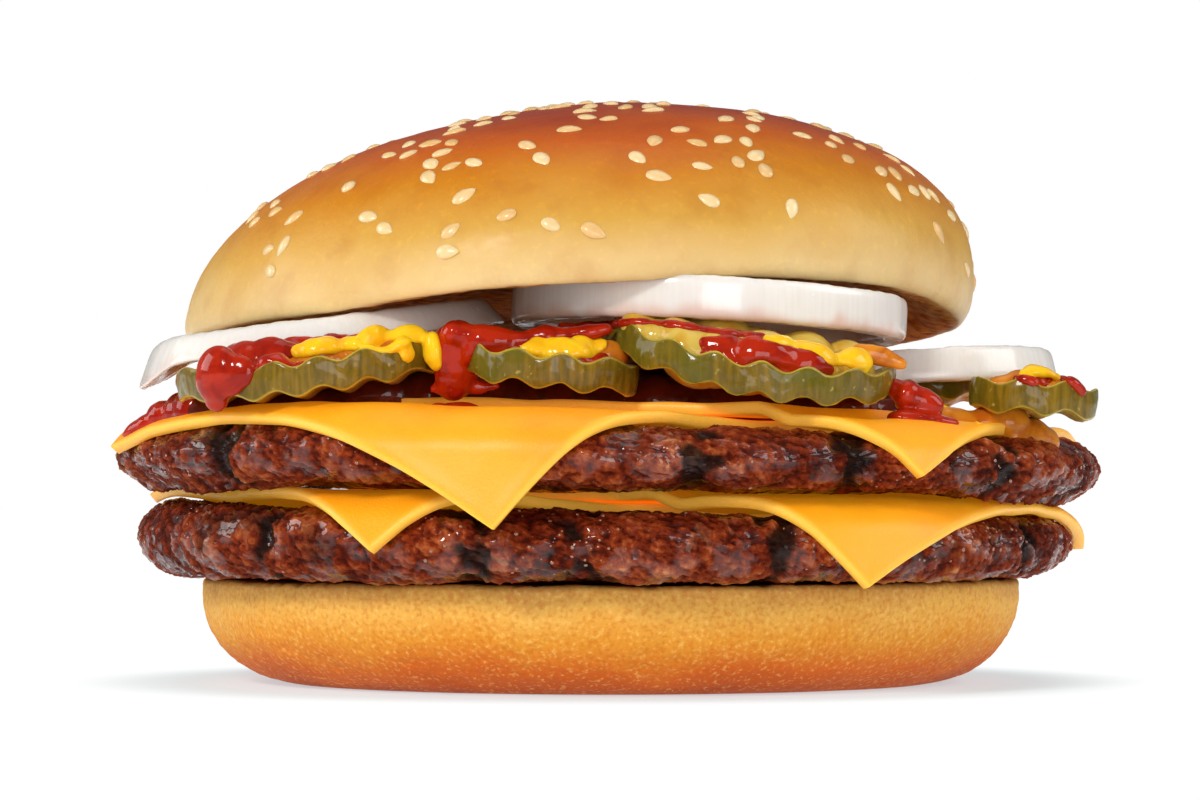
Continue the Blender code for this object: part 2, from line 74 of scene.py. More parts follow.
def waves(azimuth: Array, terms: tuple) -> Array:
    """Sum of sine waves round an outline.

    Args:
        azimuth: Angles from the front towards the right, in radians.
        terms: Count of waves, height and phase of each.

    Returns:
        The sum at each angle.
    """
    return sum(height * np.sin(count * azimuth + phase) for count, height, phase in terms)


def azimuth_of(points: Array) -> Array:
    """Angles of points round Z, from the front towards the right, in radians."""
    return np.arctan2(points[:, 0], -points[:, 1])


def spaced(start: float, end: float, spacing: float) -> Array:
    """Evenly spaced numbers from start to end, about this far apart in a full render."""
    count = max(2, round(abs(end - start) / (spacing * COARSENESS)) + 1)
    return np.linspace(start, end, count)


class Noise:
    """Smooth and cellular noise on arrays of points, the same on each run."""

    SIZE = 256

    def __init__(self, seed: int) -> None:
        """Draws the lattice's order and directions from a fixed seed."""
        draw = np.random.default_rng(seed)
        self.order = np.tile(draw.permutation(self.SIZE), 3)
        directions = draw.normal(size=(self.SIZE, 3))
        self.directions = directions / np.linalg.norm(directions, axis=1)[:, None]
        self.offsets = draw.random((self.SIZE, 3))

    def _lattice(self, cell: Array) -> Array:
        """A number from 0 to 255 for each lattice cell."""
        x, y, z = (cell & (self.SIZE - 1)).T
        return self.order[self.order[self.order[x] + y] + z]

    def smooth(self, points: Array) -> Array:
        """Gradient noise of about -1 to 1, with one swell per unit."""
        cell = np.floor(points).astype(np.int64)
        inside = points - cell
        ease = inside**3 * (inside * (inside * 6 - 15) + 10)
        total = np.zeros(len(points))
        for corner in np.ndindex(2, 2, 2):
            corner = np.array(corner)
            pull = self.directions[self._lattice(cell + corner)]
            share = np.prod(np.where(corner == 1, ease, 1 - ease), axis=1)
            total += share * np.einsum("ij,ij->i", pull, inside - corner)
        return total * 1.6

    def layered(self, points: Array, octaves: int, fade: float = 0.5) -> Array:
        """Sum of smooth noise at doubling fineness, each layer fainter than the last."""
        total = np.zeros(len(points))
        for octave in range(octaves):
            total += fade**octave * self.smooth(points * 2.0**octave + 17.3 * octave)
        return total

    def cells(self, points: Array) -> tuple[Array, Array]:
        """Distances to the nearest and second nearest of scattered middles, about one per unit cube.

        Args:
            points: Where the noise is read.

        Returns:
            The nearest and the second nearest distance at each point.
        """
        home = np.floor(points).astype(np.int64)
        first = np.full(len(points), 9.0)
        second = np.full(len(points), 9.0)
        for step in np.ndindex(3, 3, 3):
            cell = home + np.array(step) - 1
            middle = cell + self.offsets[self._lattice(cell)]
            distance = np.linalg.norm(points - middle, axis=1)
            second = np.minimum(second, np.maximum(first, distance))
            first = np.minimum(first, distance)
        return first, second


# ---- meshes ---------------------------------------------------------------------------------------
def in_scene(name: str, data: bpy.types.ID) -> bpy.types.Object:
    """Puts a mesh, a lamp or a lens in the scene as an object."""
    holder = bpy.data.objects.new(name, data)
    bpy.context.scene.collection.objects.link(holder)
    return holder


def modified_mesh(piece: bpy.types.Object) -> bpy.types.Mesh:
    """The mesh that a piece's modifiers make of it."""
    bpy.context.view_layer.update()
    graph = bpy.context.evaluated_depsgraph_get()
    return bpy.data.meshes.new_from_object(piece.evaluated_get(graph))


@dataclass
class Skin:
    """A closed surface as arrays of points and faces, with values on its points for the materials."""

    points: Array
    quads: Array
    triangles: Array = field(default_factory=lambda: np.zeros((0, 3), np.int64))
    marks: dict[str, Array] = field(default_factory=dict)

    def normals(self) -> Array:
        """Outward directions at the points."""
        total = np.zeros_like(self.points)
        for faces, second, last in ((self.quads, 2, 3), (self.triangles, 1, 2)):
            if not len(faces):
                continue
            corner = self.points[faces]
            if second == 2:
                across = np.cross(corner[:, 2] - corner[:, 0], corner[:, 3] - corner[:, 1])
            else:
                across = np.cross(corner[:, 1] - corner[:, 0], corner[:, 2] - corner[:, 0])
            for axis in range(3):
                weights = np.repeat(across[:, axis], last + 1)
                total[:, axis] += np.bincount(faces.ravel(), weights, len(self.points))
        return total / np.maximum(np.linalg.norm(total, axis=1), 1e-12)[:, None]

    def push(self, distance: Array) -> None:
        """Moves the points outwards by these distances."""
        self.points = self.points + self.normals() * distance[:, None]

    def settle(self, node: str) -> None:
        """Moves the whole surface so that the middle of its box is the middle of the node's box."""
        low, high = (np.array(corner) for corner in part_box(node))
        own_middle = (self.points.min(axis=0) + self.points.max(axis=0)) / 2
        self.points = self.points + (low + high) / 2 - own_middle

    def turn(self, rotation: Euler) -> None:
        """Turns the surface about the origin."""
        self.points = self.points @ np.array(rotation.to_matrix()).T

    def build(self, name: str, finish: bpy.types.Material) -> bpy.types.Object:
        """Makes the Blender object.

        Args:
            name: Its name.
            finish: Its material.

        Returns:
            The object, at the origin.
        """
        mesh = bpy.data.meshes.new(name)
        mesh.from_pydata(self.points.tolist(), [], self.quads.tolist() + self.triangles.tolist())
        for mark, values in self.marks.items():
            mesh.attributes.new(mark, "FLOAT", "POINT").data.foreach_set("value", values.astype(np.float32))
        mesh.materials.append(finish)
        mesh.shade_smooth()
        return in_scene(name, mesh)


def turned_skin(rows: Array, spacing: float) -> Skin:
    """A surface turned about Z.

    Args:
        rows: Radius and height, from the middle of the top over the side to the middle of the underside.
        spacing: Length of the mesh's edges along the widest outline.

    Returns:
        The closed surface.
    """
    count = len(spaced(0.0, 2 * math.pi * rows[:, 0].max(), spacing))
    angle = np.linspace(0.0, 2 * math.pi, count, endpoint=False)
    ring = np.column_stack((np.sin(angle), -np.cos(angle)))
    body = rows[1:-1]
    flat = (body[:, 0, None, None] * ring[None]).reshape(-1, 2)
    sides = np.column_stack((flat, np.repeat(body[:, 1], count)))
    poles = ((0.0, 0.0, rows[0, 1]), (0.0, 0.0, rows[-1, 1]))
    points = np.vstack((sides, poles))
    index = np.arange(len(sides)).reshape(len(body), count)
    beside = np.roll(index, -1, axis=1)
    quads = np.stack((index[:-1], index[1:], beside[1:], beside[:-1]), axis=-1).reshape(-1, 4)
    top = np.column_stack((np.full(count, len(sides)), index[0], beside[0]))
    base = np.column_stack((np.full(count, len(sides) + 1), beside[-1], index[-1]))
    return Skin(points, quads, np.vstack((top, base)))


def looped_skin(grid: Array) -> Skin:
    """A surface that closes on itself both ways, from rows of points that run round a section."""
    rows, columns = grid.shape[:2]
    index = np.arange(rows * columns).reshape(rows, columns)
    below, beside = np.roll(index, -1, axis=0), np.roll(index, -1, axis=1)
    across = np.roll(below, -1, axis=1)
    quads = np.stack((index, below, across, beside), axis=-1).reshape(-1, 4)
    return Skin(grid.reshape(-1, 3), quads)


def small_form(name: str, rows: list, tips: tuple, sides: int, size: Array) -> bpy.types.Object:
    """A small closed form of rings round the X axis, to be strewn.

    Args:
        name: Its name.
        rows: Place along the axis and girth of each ring.
        tips: Places of the two ends on the axis.
        sides: Count of points on a ring.
        size: Half sizes that stretch it along X, Y and Z.

    Returns:
        The object, not yet in the scene.
    """
    turn = np.arange(sides) * 2 * math.pi / sides
    rings = [np.column_stack((np.full(sides, x), girth * np.cos(turn), girth * np.sin(turn))) for x, girth in rows]
    points = np.vstack(((tips[0], 0.0, 0.0), *rings, (tips[1], 0.0, 0.0))) * size
    here = 1 + np.arange(len(rows) * sides).reshape(len(rows), sides)
    beside = np.roll(here, -1, axis=1)
    quads = np.stack((here[:-1], beside[:-1], beside[1:], here[1:]), axis=-1).reshape(-1, 4)
    first = np.column_stack((np.zeros(sides, int), beside[0], here[0]))
    last = np.column_stack((np.full(sides, len(points) - 1), here[-1], beside[-1]))
    mesh = bpy.data.meshes.new(name)
    mesh.from_pydata(points.tolist(), [], first.tolist() + quads.tolist() + last.tolist())
    mesh.shade_smooth()
    return bpy.data.objects.new(name, mesh)


def level_rows(radii: Array, height: float) -> Array:
    """Rows of an outline at one height."""
    return np.column_stack((radii, np.full(len(radii), height)))


def wall_rows(radius: float, heights: Array) -> Array:
    """Rows of an outline at one radius."""
    return np.column_stack((np.full(len(heights), radius), heights))


def arc_rows(centre: tuple, reach: tuple, first: float, last: float, spacing: float) -> Array:
    """Points on an ellipse, from one angle to another, measured from straight up towards the outside."""
    length = math.radians(abs(last - first)) * max(reach)
    angle = np.radians(np.linspace(first, last, len(spaced(0.0, length, spacing))))
    return np.column_stack((centre[0] + reach[0] * np.sin(angle), centre[1] + reach[1] * np.cos(angle)))


# ---- shaders --------------------------------------------------------------------------------------
class Wire:
    """A node's output that takes part in Python expressions."""

    def __init__(self, graph: "Graph", socket: bpy.types.NodeSocket) -> None:
        """Remembers the graph that it belongs to and its socket."""
        self.graph = graph
        self.socket = socket

    def of(self, name: str) -> "Wire":
        """Another output of the same node."""
        return Wire(self.graph, self.socket.node.outputs[name])

    def _maths(self, operation: str, first: "Wire | float", second: "Wire | float") -> "Wire":
        """A Math node on two values."""
        return self.graph.node("ShaderNodeMath", {"operation": operation}, {0: first, 1: second})

    def __add__(self, other: "Wire | float") -> "Wire":
        """Sum."""
        return self._maths("ADD", self, other)

    def __sub__(self, other: "Wire | float") -> "Wire":
        """Difference."""
        return self._maths("SUBTRACT", self, other)

    def __rsub__(self, other: "Wire | float") -> "Wire":
        """Difference from a number."""
        return self._maths("SUBTRACT", other, self)

    def __mul__(self, other: "Wire | float") -> "Wire":
        """Product."""
        return self._maths("MULTIPLY", self, other)

    __radd__ = __add__
    __rmul__ = __mul__

    def between(self, low: float, high: float) -> "Wire":
        """A smooth rise from 0 where this is low to 1 where it is high."""
        sockets = {"Value": self, "From Min": low, "From Max": high}
        return self.graph.node("ShaderNodeMapRange", {"interpolation_type": "SMOOTHSTEP"}, sockets)


def add_node(
    tree: bpy.types.NodeTree, kind: str, settings: dict | None = None, sockets: dict | None = None
) -> bpy.types.Node:
    """Adds a node to a tree.

    Args:
        tree: The node tree.
        kind: The node's type.
        settings: Its properties.
        sockets: Values, wires or other nodes' outputs for its inputs, by name or number.

    Returns:
        The node.
    """
    made = tree.nodes.new(kind)
    for key, value in (settings or {}).items():
        setattr(made, key, value)
    for key, value in (sockets or {}).items():
        end = value.socket if isinstance(value, Wire) else value
        if isinstance(end, bpy.types.NodeSocket):
            tree.links.new(end, made.inputs[key])
        else:
            made.inputs[key].default_value = end
    return made


class Graph:
    """A material's nodes."""

    def __init__(self, name: str) -> None:
        """Starts a material with an empty node tree."""
        self.material = bpy.data.materials.new(name)
        self.material.use_nodes = True
        self.tree = self.material.node_tree
        self.tree.nodes.clear()
        self.place = self.node("ShaderNodeTexCoord").of("Object")

    def node(self, kind: str, settings: dict | None = None, sockets: dict | None = None) -> Wire:
        """Adds a node.

        Args:
            kind: The node's type.
            settings: Its properties.
            sockets: Values or wires for its inputs, by name or number.

        Returns:
            Its first output in use.
        """
        made = add_node(self.tree, kind, settings, sockets)
        return Wire(self, next((end for end in made.outputs if end.enabled), None))

    def ramp(self, factor: Wire, stops: tuple) -> Wire:
        """Colours along a factor, from their places and colours."""
        made = self.node("ShaderNodeValToRGB", {}, {"Fac": factor}).of("Color")
        elements = made.socket.node.color_ramp.elements
        while len(elements) < len(stops):
            elements.new(1.0)
        for element, (place, colour) in zip(elements, stops):
            element.position = place
            element.color = (*colour, 1.0)
        return made

    def mark(self, name: str) -> Wire:
        """A value stored on the mesh's points."""
        return self.node("ShaderNodeAttribute", {"attribute_name": name}).of("Fac")

    def noise(self, scale: float, detail: float = 3.0, stretch: Point = (1.0, 1.0, 1.0), bend: float = 0.0) -> Wire:
        """Noise of 0 to 1 on the object's own coordinates.

        Args:
            scale: Swells per metre.
            detail: Count of finer layers.
            stretch: Multipliers of the scale along X, Y and Z.
            bend: How much the noise is warped.

        Returns:
            The noise's value.
        """
        place = self.node("ShaderNodeVectorMath", {"operation": "MULTIPLY"}, {0: self.place, 1: stretch})
        sockets = {"Vector": place, "Scale": scale, "Detail": detail, "Distortion": bend}
        return self.node("ShaderNodeTexNoise", {}, sockets)

    def blend(self, factor: "Wire | float", first: "Wire | Colour", second: "Wire | Colour", how: str = "MIX") -> Wire:
        """One colour turned into another by a factor.

        Args:
            factor: 0 keeps the first colour.
            first: A colour or a wire that carries one.
            second: A colour or a wire that carries one.
            how: The Mix node's blend type.

        Returns:
            The mixed colour.
        """
        ends = [end if isinstance(end, Wire) else (*end, 1.0) for end in (first, second)]
        settings = {"data_type": "RGBA", "blend_type": how, "clamp_factor": True}
        mixed = self.node("ShaderNodeMix", settings, {0: factor, 6: ends[0], 7: ends[1]})
        return Wire(self, mixed.socket.node.outputs[2])

    def surface(self, sockets: dict, relief: Wire | None = None, relief_depth: float = 0.0001) -> bpy.types.Material:
        """Ends the graph in a Principled shader.

        Args:
            sockets: The shader's values and wires, by socket name.
            relief: Height of the fine relief, from 0 to 1.
            relief_depth: What a height of 1 stands for, in metres.

        Returns:
            The material.
        """
        if relief is not None:
            bump = self.node("ShaderNodeBump", {}, {"Height": relief, "Distance": relief_depth})
            sockets = {**sockets, "Normal": bump}
        shader = self.node("ShaderNodeBsdfPrincipled", {}, sockets)
        self.node("ShaderNodeOutputMaterial", {}, {"Surface": shader})
        return self.material


# ---- finishes -------------------------------------------------------------------------------------
def coated(weight: Wire | float, roughness: float, specular: float = 0.5) -> dict:
    """Sockets of a clear coat and of the shine under it."""
    return {"Coat Weight": weight, "Coat Roughness": roughness, "Specular IOR Level": specular}


def lit_through(weight: float, reach: Point, scale: float) -> dict:
    """Sockets of the light that passes through, with its reach in red, green and blue."""
    return {"Subsurface Weight": weight, "Subsurface Radius": reach, "Subsurface Scale": scale}


class Slot(Enum):
    """The record's material slots."""
    # Material slot names.

    HEEL = "heel_crust"
    CROWN = "crown_crust"
    MEAT = "patty_meat"
    CHEESE = "cheese"
    PICKLE = "pickle"
    ONION = "onion"
    KETCHUP = "ketchup"
    MUSTARD = "mustard"


@dataclass(frozen=True)
class CrownCrust:
    """Egg-washed crust: cream low down, golden on the shoulder and deep brown on the top."""

    stops: tuple = (
        (0.0, (0.78, 0.58, 0.28)),
        (0.28, (0.63, 0.35, 0.065)),
        (0.50, (0.58, 0.21, 0.008)),
        (0.70, (0.53, 0.095, 0.001)),
        (0.90, (0.33, 0.029, 0.001)),
    )
    toasted: Colour = (0.62, 0.27, 0.06)
    toasted_dark: Colour = (0.34, 0.10, 0.015)
    blister: Colour = (0.95, 0.80, 0.48)
    mottle: Colour = (0.55, 0.22, 0.03)
    relief: float = 0.00016

    def material(self) -> bpy.types.Material:
        """The crust on the mark "bake", and the toasted cut face on the mark "cut"."""
        graph = Graph("crown_crust")
        crust = graph.ramp(graph.mark("bake"), self.stops)
        blisters = graph.noise(900.0, 4.0)
        crust = graph.blend(blisters.between(0.52, 0.75) * 0.22, crust, self.blister, "SOFT_LIGHT")
        mottle = graph.noise(160.0, 5.0)
        crust = graph.blend(mottle.between(0.45, 0.8) * 0.25, crust, self.mottle, "MULTIPLY")
        crumb = graph.blend(graph.noise(500.0, 6.0).between(0.35, 0.65), self.toasted_dark, self.toasted)
        colour = graph.blend(graph.mark("cut"), crust, crumb)
        rough = 0.36 + graph.mark("cut") * 0.30 + blisters * 0.10
        sockets = {
            "Base Color": colour,
            "Roughness": rough,
            **coated(0.19 * (1 - graph.mark("cut")), 0.30, 0.08),
            **lit_through(0.18, (1.0, 0.45, 0.15), 0.003),
        }
        relief = graph.noise(1400.0, 4.0) * 0.5 + graph.noise(420.0, 3.0) * 0.5
        return graph.surface(sockets, relief, self.relief)


@dataclass(frozen=True)
class HeelCrust:
    """Dry, fine-pored crust of the bun's bottom half: orange at the foot, golden above, and darker at the very top with
    painted shade from the patty over it.
    """

    stops: tuple = (
        (0.0, (0.50, 0.070, 0.005)),
        (0.22, (0.70, 0.14, 0.010)),
        (0.50, (0.76, 0.30, 0.026)),
        (0.75, (0.80, 0.42, 0.075)),
        # Painted shade: the top of the heel, under the patty's overhang, is darker.
        (1.0, (0.62, 0.30, 0.07)),
    )
    floured: Colour = (0.95, 0.58, 0.16)
    baked: Colour = (0.55, 0.11, 0.008)
    full_height: float = 0.0155
    relief: float = 0.00022

    def material(self) -> bpy.types.Material:
        """The crust, coloured by height and mottled."""
        graph = Graph("heel_crust")
        height = graph.node("ShaderNodeSeparateXYZ", {}, {0: graph.place}).of("Z")
        patch = graph.noise(70.0, 4.0)
        level = height * (1 / self.full_height) + (patch - 0.5) * 0.45
        crust = graph.ramp(level, self.stops)
        grain = graph.noise(1500.0, 5.0)
        crust = graph.blend(grain.between(0.52, 0.72) * 0.45, crust, self.floured)
        crust = graph.blend(grain.between(0.50, 0.34) * 0.35, crust, self.baked)
        sockets = {
            "Base Color": crust,
            "Roughness": 0.62,
            "Specular IOR Level": 0.15,
            **lit_through(0.15, (1.0, 0.4, 0.12), 0.003),
        }
        relief = graph.noise(1600.0, 5.0) * 0.6 + graph.noise(600.0, 3.0) * 0.4
        return graph.surface(sockets, relief, self.relief)


@dataclass(frozen=True)
class GrilledMeat:
    """Grilled minced beef: painted shade in the pits and painted highlight on the lumps, black where it is charred, and
    wet.
    """

    # From painted shade in the pits, at 0, to painted highlight on the lumps, at 1.
    stops: tuple = (
        (0.0, (0.012, 0.003, 0.002)),
        (0.35, (0.085, 0.007, 0.001)),
        (0.60, (0.215, 0.027, 0.005)),
        (0.85, (0.37, 0.085, 0.022)),
        (1.0, (0.56, 0.21, 0.08)),
    )
    strand: Colour = (0.42, 0.14, 0.06)
    fat: Colour = (0.60, 0.29, 0.15)
    charred: Colour = (0.006, 0.003, 0.002)
    relief: float = 0.00095

    def material(self) -> bpy.types.Material:
        """The meat on the marks "height", which carries painted shade and highlight, and "char"."""
        graph = Graph("grilled_meat")
        fine = graph.noise(1100.0, 6.0, bend=0.6)
        patch = graph.noise(90.0, 4.0)
        # The mark "height" brings in painted shade in the pits and painted highlight on the lumps.
        level = graph.mark("height") + (fine - 0.5) * 0.80 + (patch - 0.5) * 0.5
        meat = graph.ramp(level, self.stops)
        strands = graph.noise(420.0, 5.0, stretch=(1.0, 1.0, 0.45), bend=1.2)
        meat = graph.blend(strands.between(0.60, 0.72) * 0.35, meat, self.strand)
        fat = graph.noise(260.0, 2.0, bend=0.4).between(0.70, 0.76)
        meat = graph.blend(fat * 0.4, meat, self.fat)
        meat = graph.blend(graph.mark("char"), meat, self.charred)
        wet = graph.noise(260.0, 4.0).between(0.46, 0.60)
        sockets = {
            "Base Color": meat,
            "Roughness": 0.60,
            **coated(wet * (1 - graph.mark("char") * 0.6), 0.08, 0.06),
        }
        relief = graph.noise(1500.0, 6.0) * 0.5 + graph.noise(650.0, 4.0, bend=0.5) * 0.5
        return graph.surface(sockets, relief, self.relief)


@dataclass(frozen=True)
class Juice:
    """Beads of fat and juice on the meat."""

    body: Colour = (0.28, 0.10, 0.045)

    def material(self) -> bpy.types.Material:
        """A clear, wet bead over brown meat."""
        graph = Graph("juice")
        return graph.surface({"Base Color": (*self.body, 1.0), "Roughness": 0.05, **coated(1.0, 0.02, 0.8)})


@dataclass(frozen=True)
class MeltedCheese:
    """Soft processed cheese: even yellow-orange and waxy, with painted light along its thin rim and a glow of painted
    light in its shade.
    """

    body: Colour = (0.92, 0.35, 0.007)
    deep: Colour = (0.88, 0.28, 0.005)
    # Painted light: the lighter colour that brightens the thin rim.
    pale: Colour = (0.99, 0.58, 0.09)
    glow: float = 0.22  # light of its own, in place of the light that passes through thin cheese
    relief: float = 0.00014

    def material(self) -> bpy.types.Material:
        """The cheese, with painted light on the mark "edge" along its rim."""
        graph = Graph("melted_cheese")
        clouds = graph.noise(45.0, 3.0)
        colour = graph.blend(clouds.between(0.42, 0.66), self.body, self.deep)
        # Painted light along the thin rim.
        colour = graph.blend(graph.mark("edge") * 0.55, colour, self.pale)
        sockets = {
            "Base Color": colour,
            "Roughness": 0.38 + graph.noise(240.0, 3.0) * 0.12,
            # Painted light: the cheese glows in its own colour to lift its shaded parts.
            "Emission Color": colour,
            "Emission Strength": self.glow,
            **coated(0.30, 0.36, 0.20),
            **lit_through(0.30, (1.0, 0.5, 0.08), 0.0025),
        }
        relief = graph.noise(2600.0, 2.0) * 0.55 + graph.noise(320.0, 3.0) * 0.45
        return graph.surface(sockets, relief, self.relief)


@dataclass(frozen=True)
class Gherkin:
    """Pickled cucumber: olive skin round a paler, watery flesh."""

    skin: Colour = (0.125, 0.080, 0.006)
    skin_light: Colour = (0.34, 0.195, 0.010)
    skin_green: Colour = (0.105, 0.100, 0.006)
    flesh: Colour = (0.50, 0.37, 0.07)
    rind: Colour = (0.62, 0.47, 0.03)
    flesh_deep: Colour = (0.42, 0.33, 0.06)
    speckle: Colour = (0.62, 0.50, 0.12)
    relief: float = 0.00014

    def material(self) -> bpy.types.Material:
        """The chip, with the marks "skin" on its side and "rind" along its two edges."""
        graph = Graph("gherkin")
        streaks = graph.noise(1300.0, 4.0, stretch=(1.0, 1.0, 0.12))
        skin = graph.blend(streaks.between(0.30, 0.75) * 0.6, self.skin, self.skin_light)
        skin = graph.blend(graph.noise(75.0, 2.0).between(0.45, 0.62) * 0.7, skin, self.skin_green)
        speckle = graph.noise(900.0, 3.0).between(0.66, 0.74)
        skin = graph.blend(speckle * 0.4, skin, self.speckle)
        flesh = graph.blend(graph.noise(350.0, 5.0).between(0.35, 0.7), self.flesh, self.flesh_deep)
        colour = graph.blend(graph.mark("skin"), flesh, skin)
        colour = graph.blend(graph.mark("rind") * 0.4, colour, self.rind)
        sockets = {
            "Base Color": colour,
            "Roughness": 0.20 + graph.noise(420.0, 3.0) * 0.18,
            **coated(0.35, 0.08, 0.10),
            **lit_through(0.25, (1.0, 0.9, 0.15), 0.002),
        }
        relief = streaks * 0.5 + graph.noise(700.0, 4.0) * 0.5
        return graph.surface(sockets, relief, self.relief)


@dataclass(frozen=True)
class RawOnion:
    """Raw white onion: watery and translucent, with fine upright fibres."""

    fibre: Colour = (0.79, 0.75, 0.70)
    between: Colour = (0.83, 0.79, 0.74)
    cloud: Colour = (0.78, 0.74, 0.72)
    sawn: Colour = (0.93, 0.92, 0.88)
    # Partly sauce soaked in, partly painted reflection and shade of the sauce below.
    tint: Colour = (0.62, 0.20, 0.07)
    relief: float = 0.00004

    def material(self) -> bpy.types.Material:
        """The onion, with the mark "cut" on its two sawn faces and a mark low down for a reddish tint, partly sauce
        soaked in and partly painted reflection and shade of the sauce below.
        """
        graph = Graph("raw_onion")
        fibres = graph.noise(1500.0, 3.0, stretch=(1.0, 1.0, 0.06))
        colour = graph.blend(fibres.between(0.3, 0.7), self.fibre, self.between)
        colour = graph.blend(graph.noise(60.0, 3.0).between(0.45, 0.70) * 0.5, colour, self.cloud)
        colour = graph.blend(graph.mark("cut") * 0.5, colour, self.sawn)
        # Reddish tint low on the ring: partly sauce soaked in, partly painted reflection and shade of the sauce below.
        colour = graph.blend(graph.mark("stain"), colour, self.tint)
        sockets = {
            "Base Color": colour,
            "Roughness": 0.16 + graph.noise(500.0, 3.0) * 0.16,
            **coated(0.35, 0.16),
            **lit_through(0.65, (1.0, 0.85, 0.75), 0.0035),
        }
        relief = fibres * 0.6 + graph.noise(350.0, 3.0) * 0.4
        return graph.surface(sockets, relief, self.relief)


@dataclass(frozen=True)
class Sauce:
    """A glossy sauce of one colour, with a second one in patches."""

    name: str
    body: Colour
    deep: Colour
    roughness: float
    relief: float = 0.00006

    def material(self) -> bpy.types.Material:
        """The sauce."""
        graph = Graph(self.name)
        colour = graph.blend(graph.noise(260.0, 4.0, bend=0.6).between(0.40, 0.65), self.body, self.deep)
        sockets = {
            "Base Color": colour,
            "Roughness": self.roughness + graph.noise(600.0, 2.0) * 0.08,
            **coated(0.50, 0.05, 0.05),
            **lit_through(0.15, (1.0, 0.35, 0.1), 0.0015),
        }
        return graph.surface(sockets, graph.noise(900.0, 4.0), self.relief)


KETCHUP_FINISH = Sauce("ketchup", (0.42, 0.018, 0.002), (0.27, 0.007, 0.001), 0.12)
MIXED_SAUCE_FINISH = Sauce("ketchup_with_mustard", (0.68, 0.24, 0.014), (0.48, 0.12, 0.008), 0.16)
THIN_MUSTARD_FINISH = Sauce("thin_mustard", (0.66, 0.47, 0.09), (0.60, 0.33, 0.03), 0.20)
# Painted shade: ketchup darkened to stand for the shade under the chips.
SHADED_KETCHUP_FINISH = Sauce("ketchup_in_the_shade", (0.14, 0.014, 0.004), (0.07, 0.007, 0.003), 0.25)
MUSTARD_FINISH = Sauce("mustard", (0.98, 0.60, 0.012), (0.94, 0.48, 0.008), 0.16)


@dataclass(frozen=True)
class SesameHull:
    """Hulled sesame seed: cream, some of them toasted."""

    cream: Colour = (0.88, 0.66, 0.35)
    toasted: Colour = (0.74, 0.44, 0.15)
    patch: Colour = (0.70, 0.42, 0.16)
    relief: float = 0.00003

    def material(self) -> bpy.types.Material:
        """The seed, on the mark "tone" that differs from seed to seed."""
        graph = Graph("sesame_hull")
        tone = graph.mark("tone")
        colour = graph.blend(tone, self.cream, self.toasted)
        colour = graph.blend(graph.noise(1200.0, 3.0).between(0.5, 0.75) * 0.3, colour, self.patch)
        sockets = {
            "Base Color": colour,
            "Roughness": 0.34,
            **coated(0.35, 0.15),
            **lit_through(0.3, (1.0, 0.6, 0.3), 0.001),
        }
        return graph.surface(sockets, graph.noise(2500.0, 3.0), self.relief)


# ---- bun ------------------------------------------------------------------------------------------
@dataclass(frozen=True)
class Heel:
    """The bottom half of the bun: flat base, rounded foot, upright side and a flat cut face."""

    radius: float = 0.0600
    base_radius: float = 0.0450
    height: float = 0.0153
    curve_height: float = 0.0130
    cut_edge: float = 0.0009
    outline: tuple = ((2, 0.006, 0.7), (3, 0.004, 2.0))
    swell: float = 0.00022
    pore: float = 0.00011
    pit: float = 0.00016
    grain: Noise = Noise(3)

    def rows(self) -> Array:
        """Outline from the middle of the cut face, down the side, to the middle of the base."""
        foot, rim = self.radius - self.base_radius, self.radius - self.cut_edge
        side = arc_rows((self.base_radius, self.curve_height), (foot, self.curve_height), 90, 180, 0.40 * MM)
        bevel = arc_rows((rim, self.height - self.cut_edge), (self.cut_edge, self.cut_edge), 0, 90, 0.25 * MM)
        face = level_rows(np.linspace(0.0, self.radius - 2 * self.cut_edge, 10), self.height)
        wall = wall_rows(self.radius, spaced(self.height - self.cut_edge, self.curve_height, 0.4 * MM)[1:-1])
        base = level_rows(np.linspace(self.base_radius, 0.0, 8)[1:], 0.0)
        return np.vstack((face, bevel, wall, side, base))

    def build(self, finish: bpy.types.Material) -> bpy.types.Object:
        """Makes the heel with its fine crust.

        Args:
            finish: The heel's material.

        Returns:
            The piece.
        """
        skin = turned_skin(self.rows(), 0.50 * MM)
        azimuth = azimuth_of(skin.points)
        skin.points[:, :2] *= 1 + waves(azimuth, self.outline)[:, None]
        off_base = smoothstep(0.0, 0.0012, skin.points[:, 2])
        swell = self.swell * self.grain.layered(skin.points * 70, 2)
        rough = self.pore * self.grain.layered(skin.points * 520, 3, 0.6)
        first, _ = self.grain.cells(skin.points * 330)
        pits = -self.pit * smoothstep(0.42, 0.15, first)
        skin.push((swell + rough + pits) * off_base)
        skin.settle("heel")
        skin.points[:, 2] = np.maximum(skin.points[:, 2], 0.0)
        return skin.build("heel_with_crust", finish)


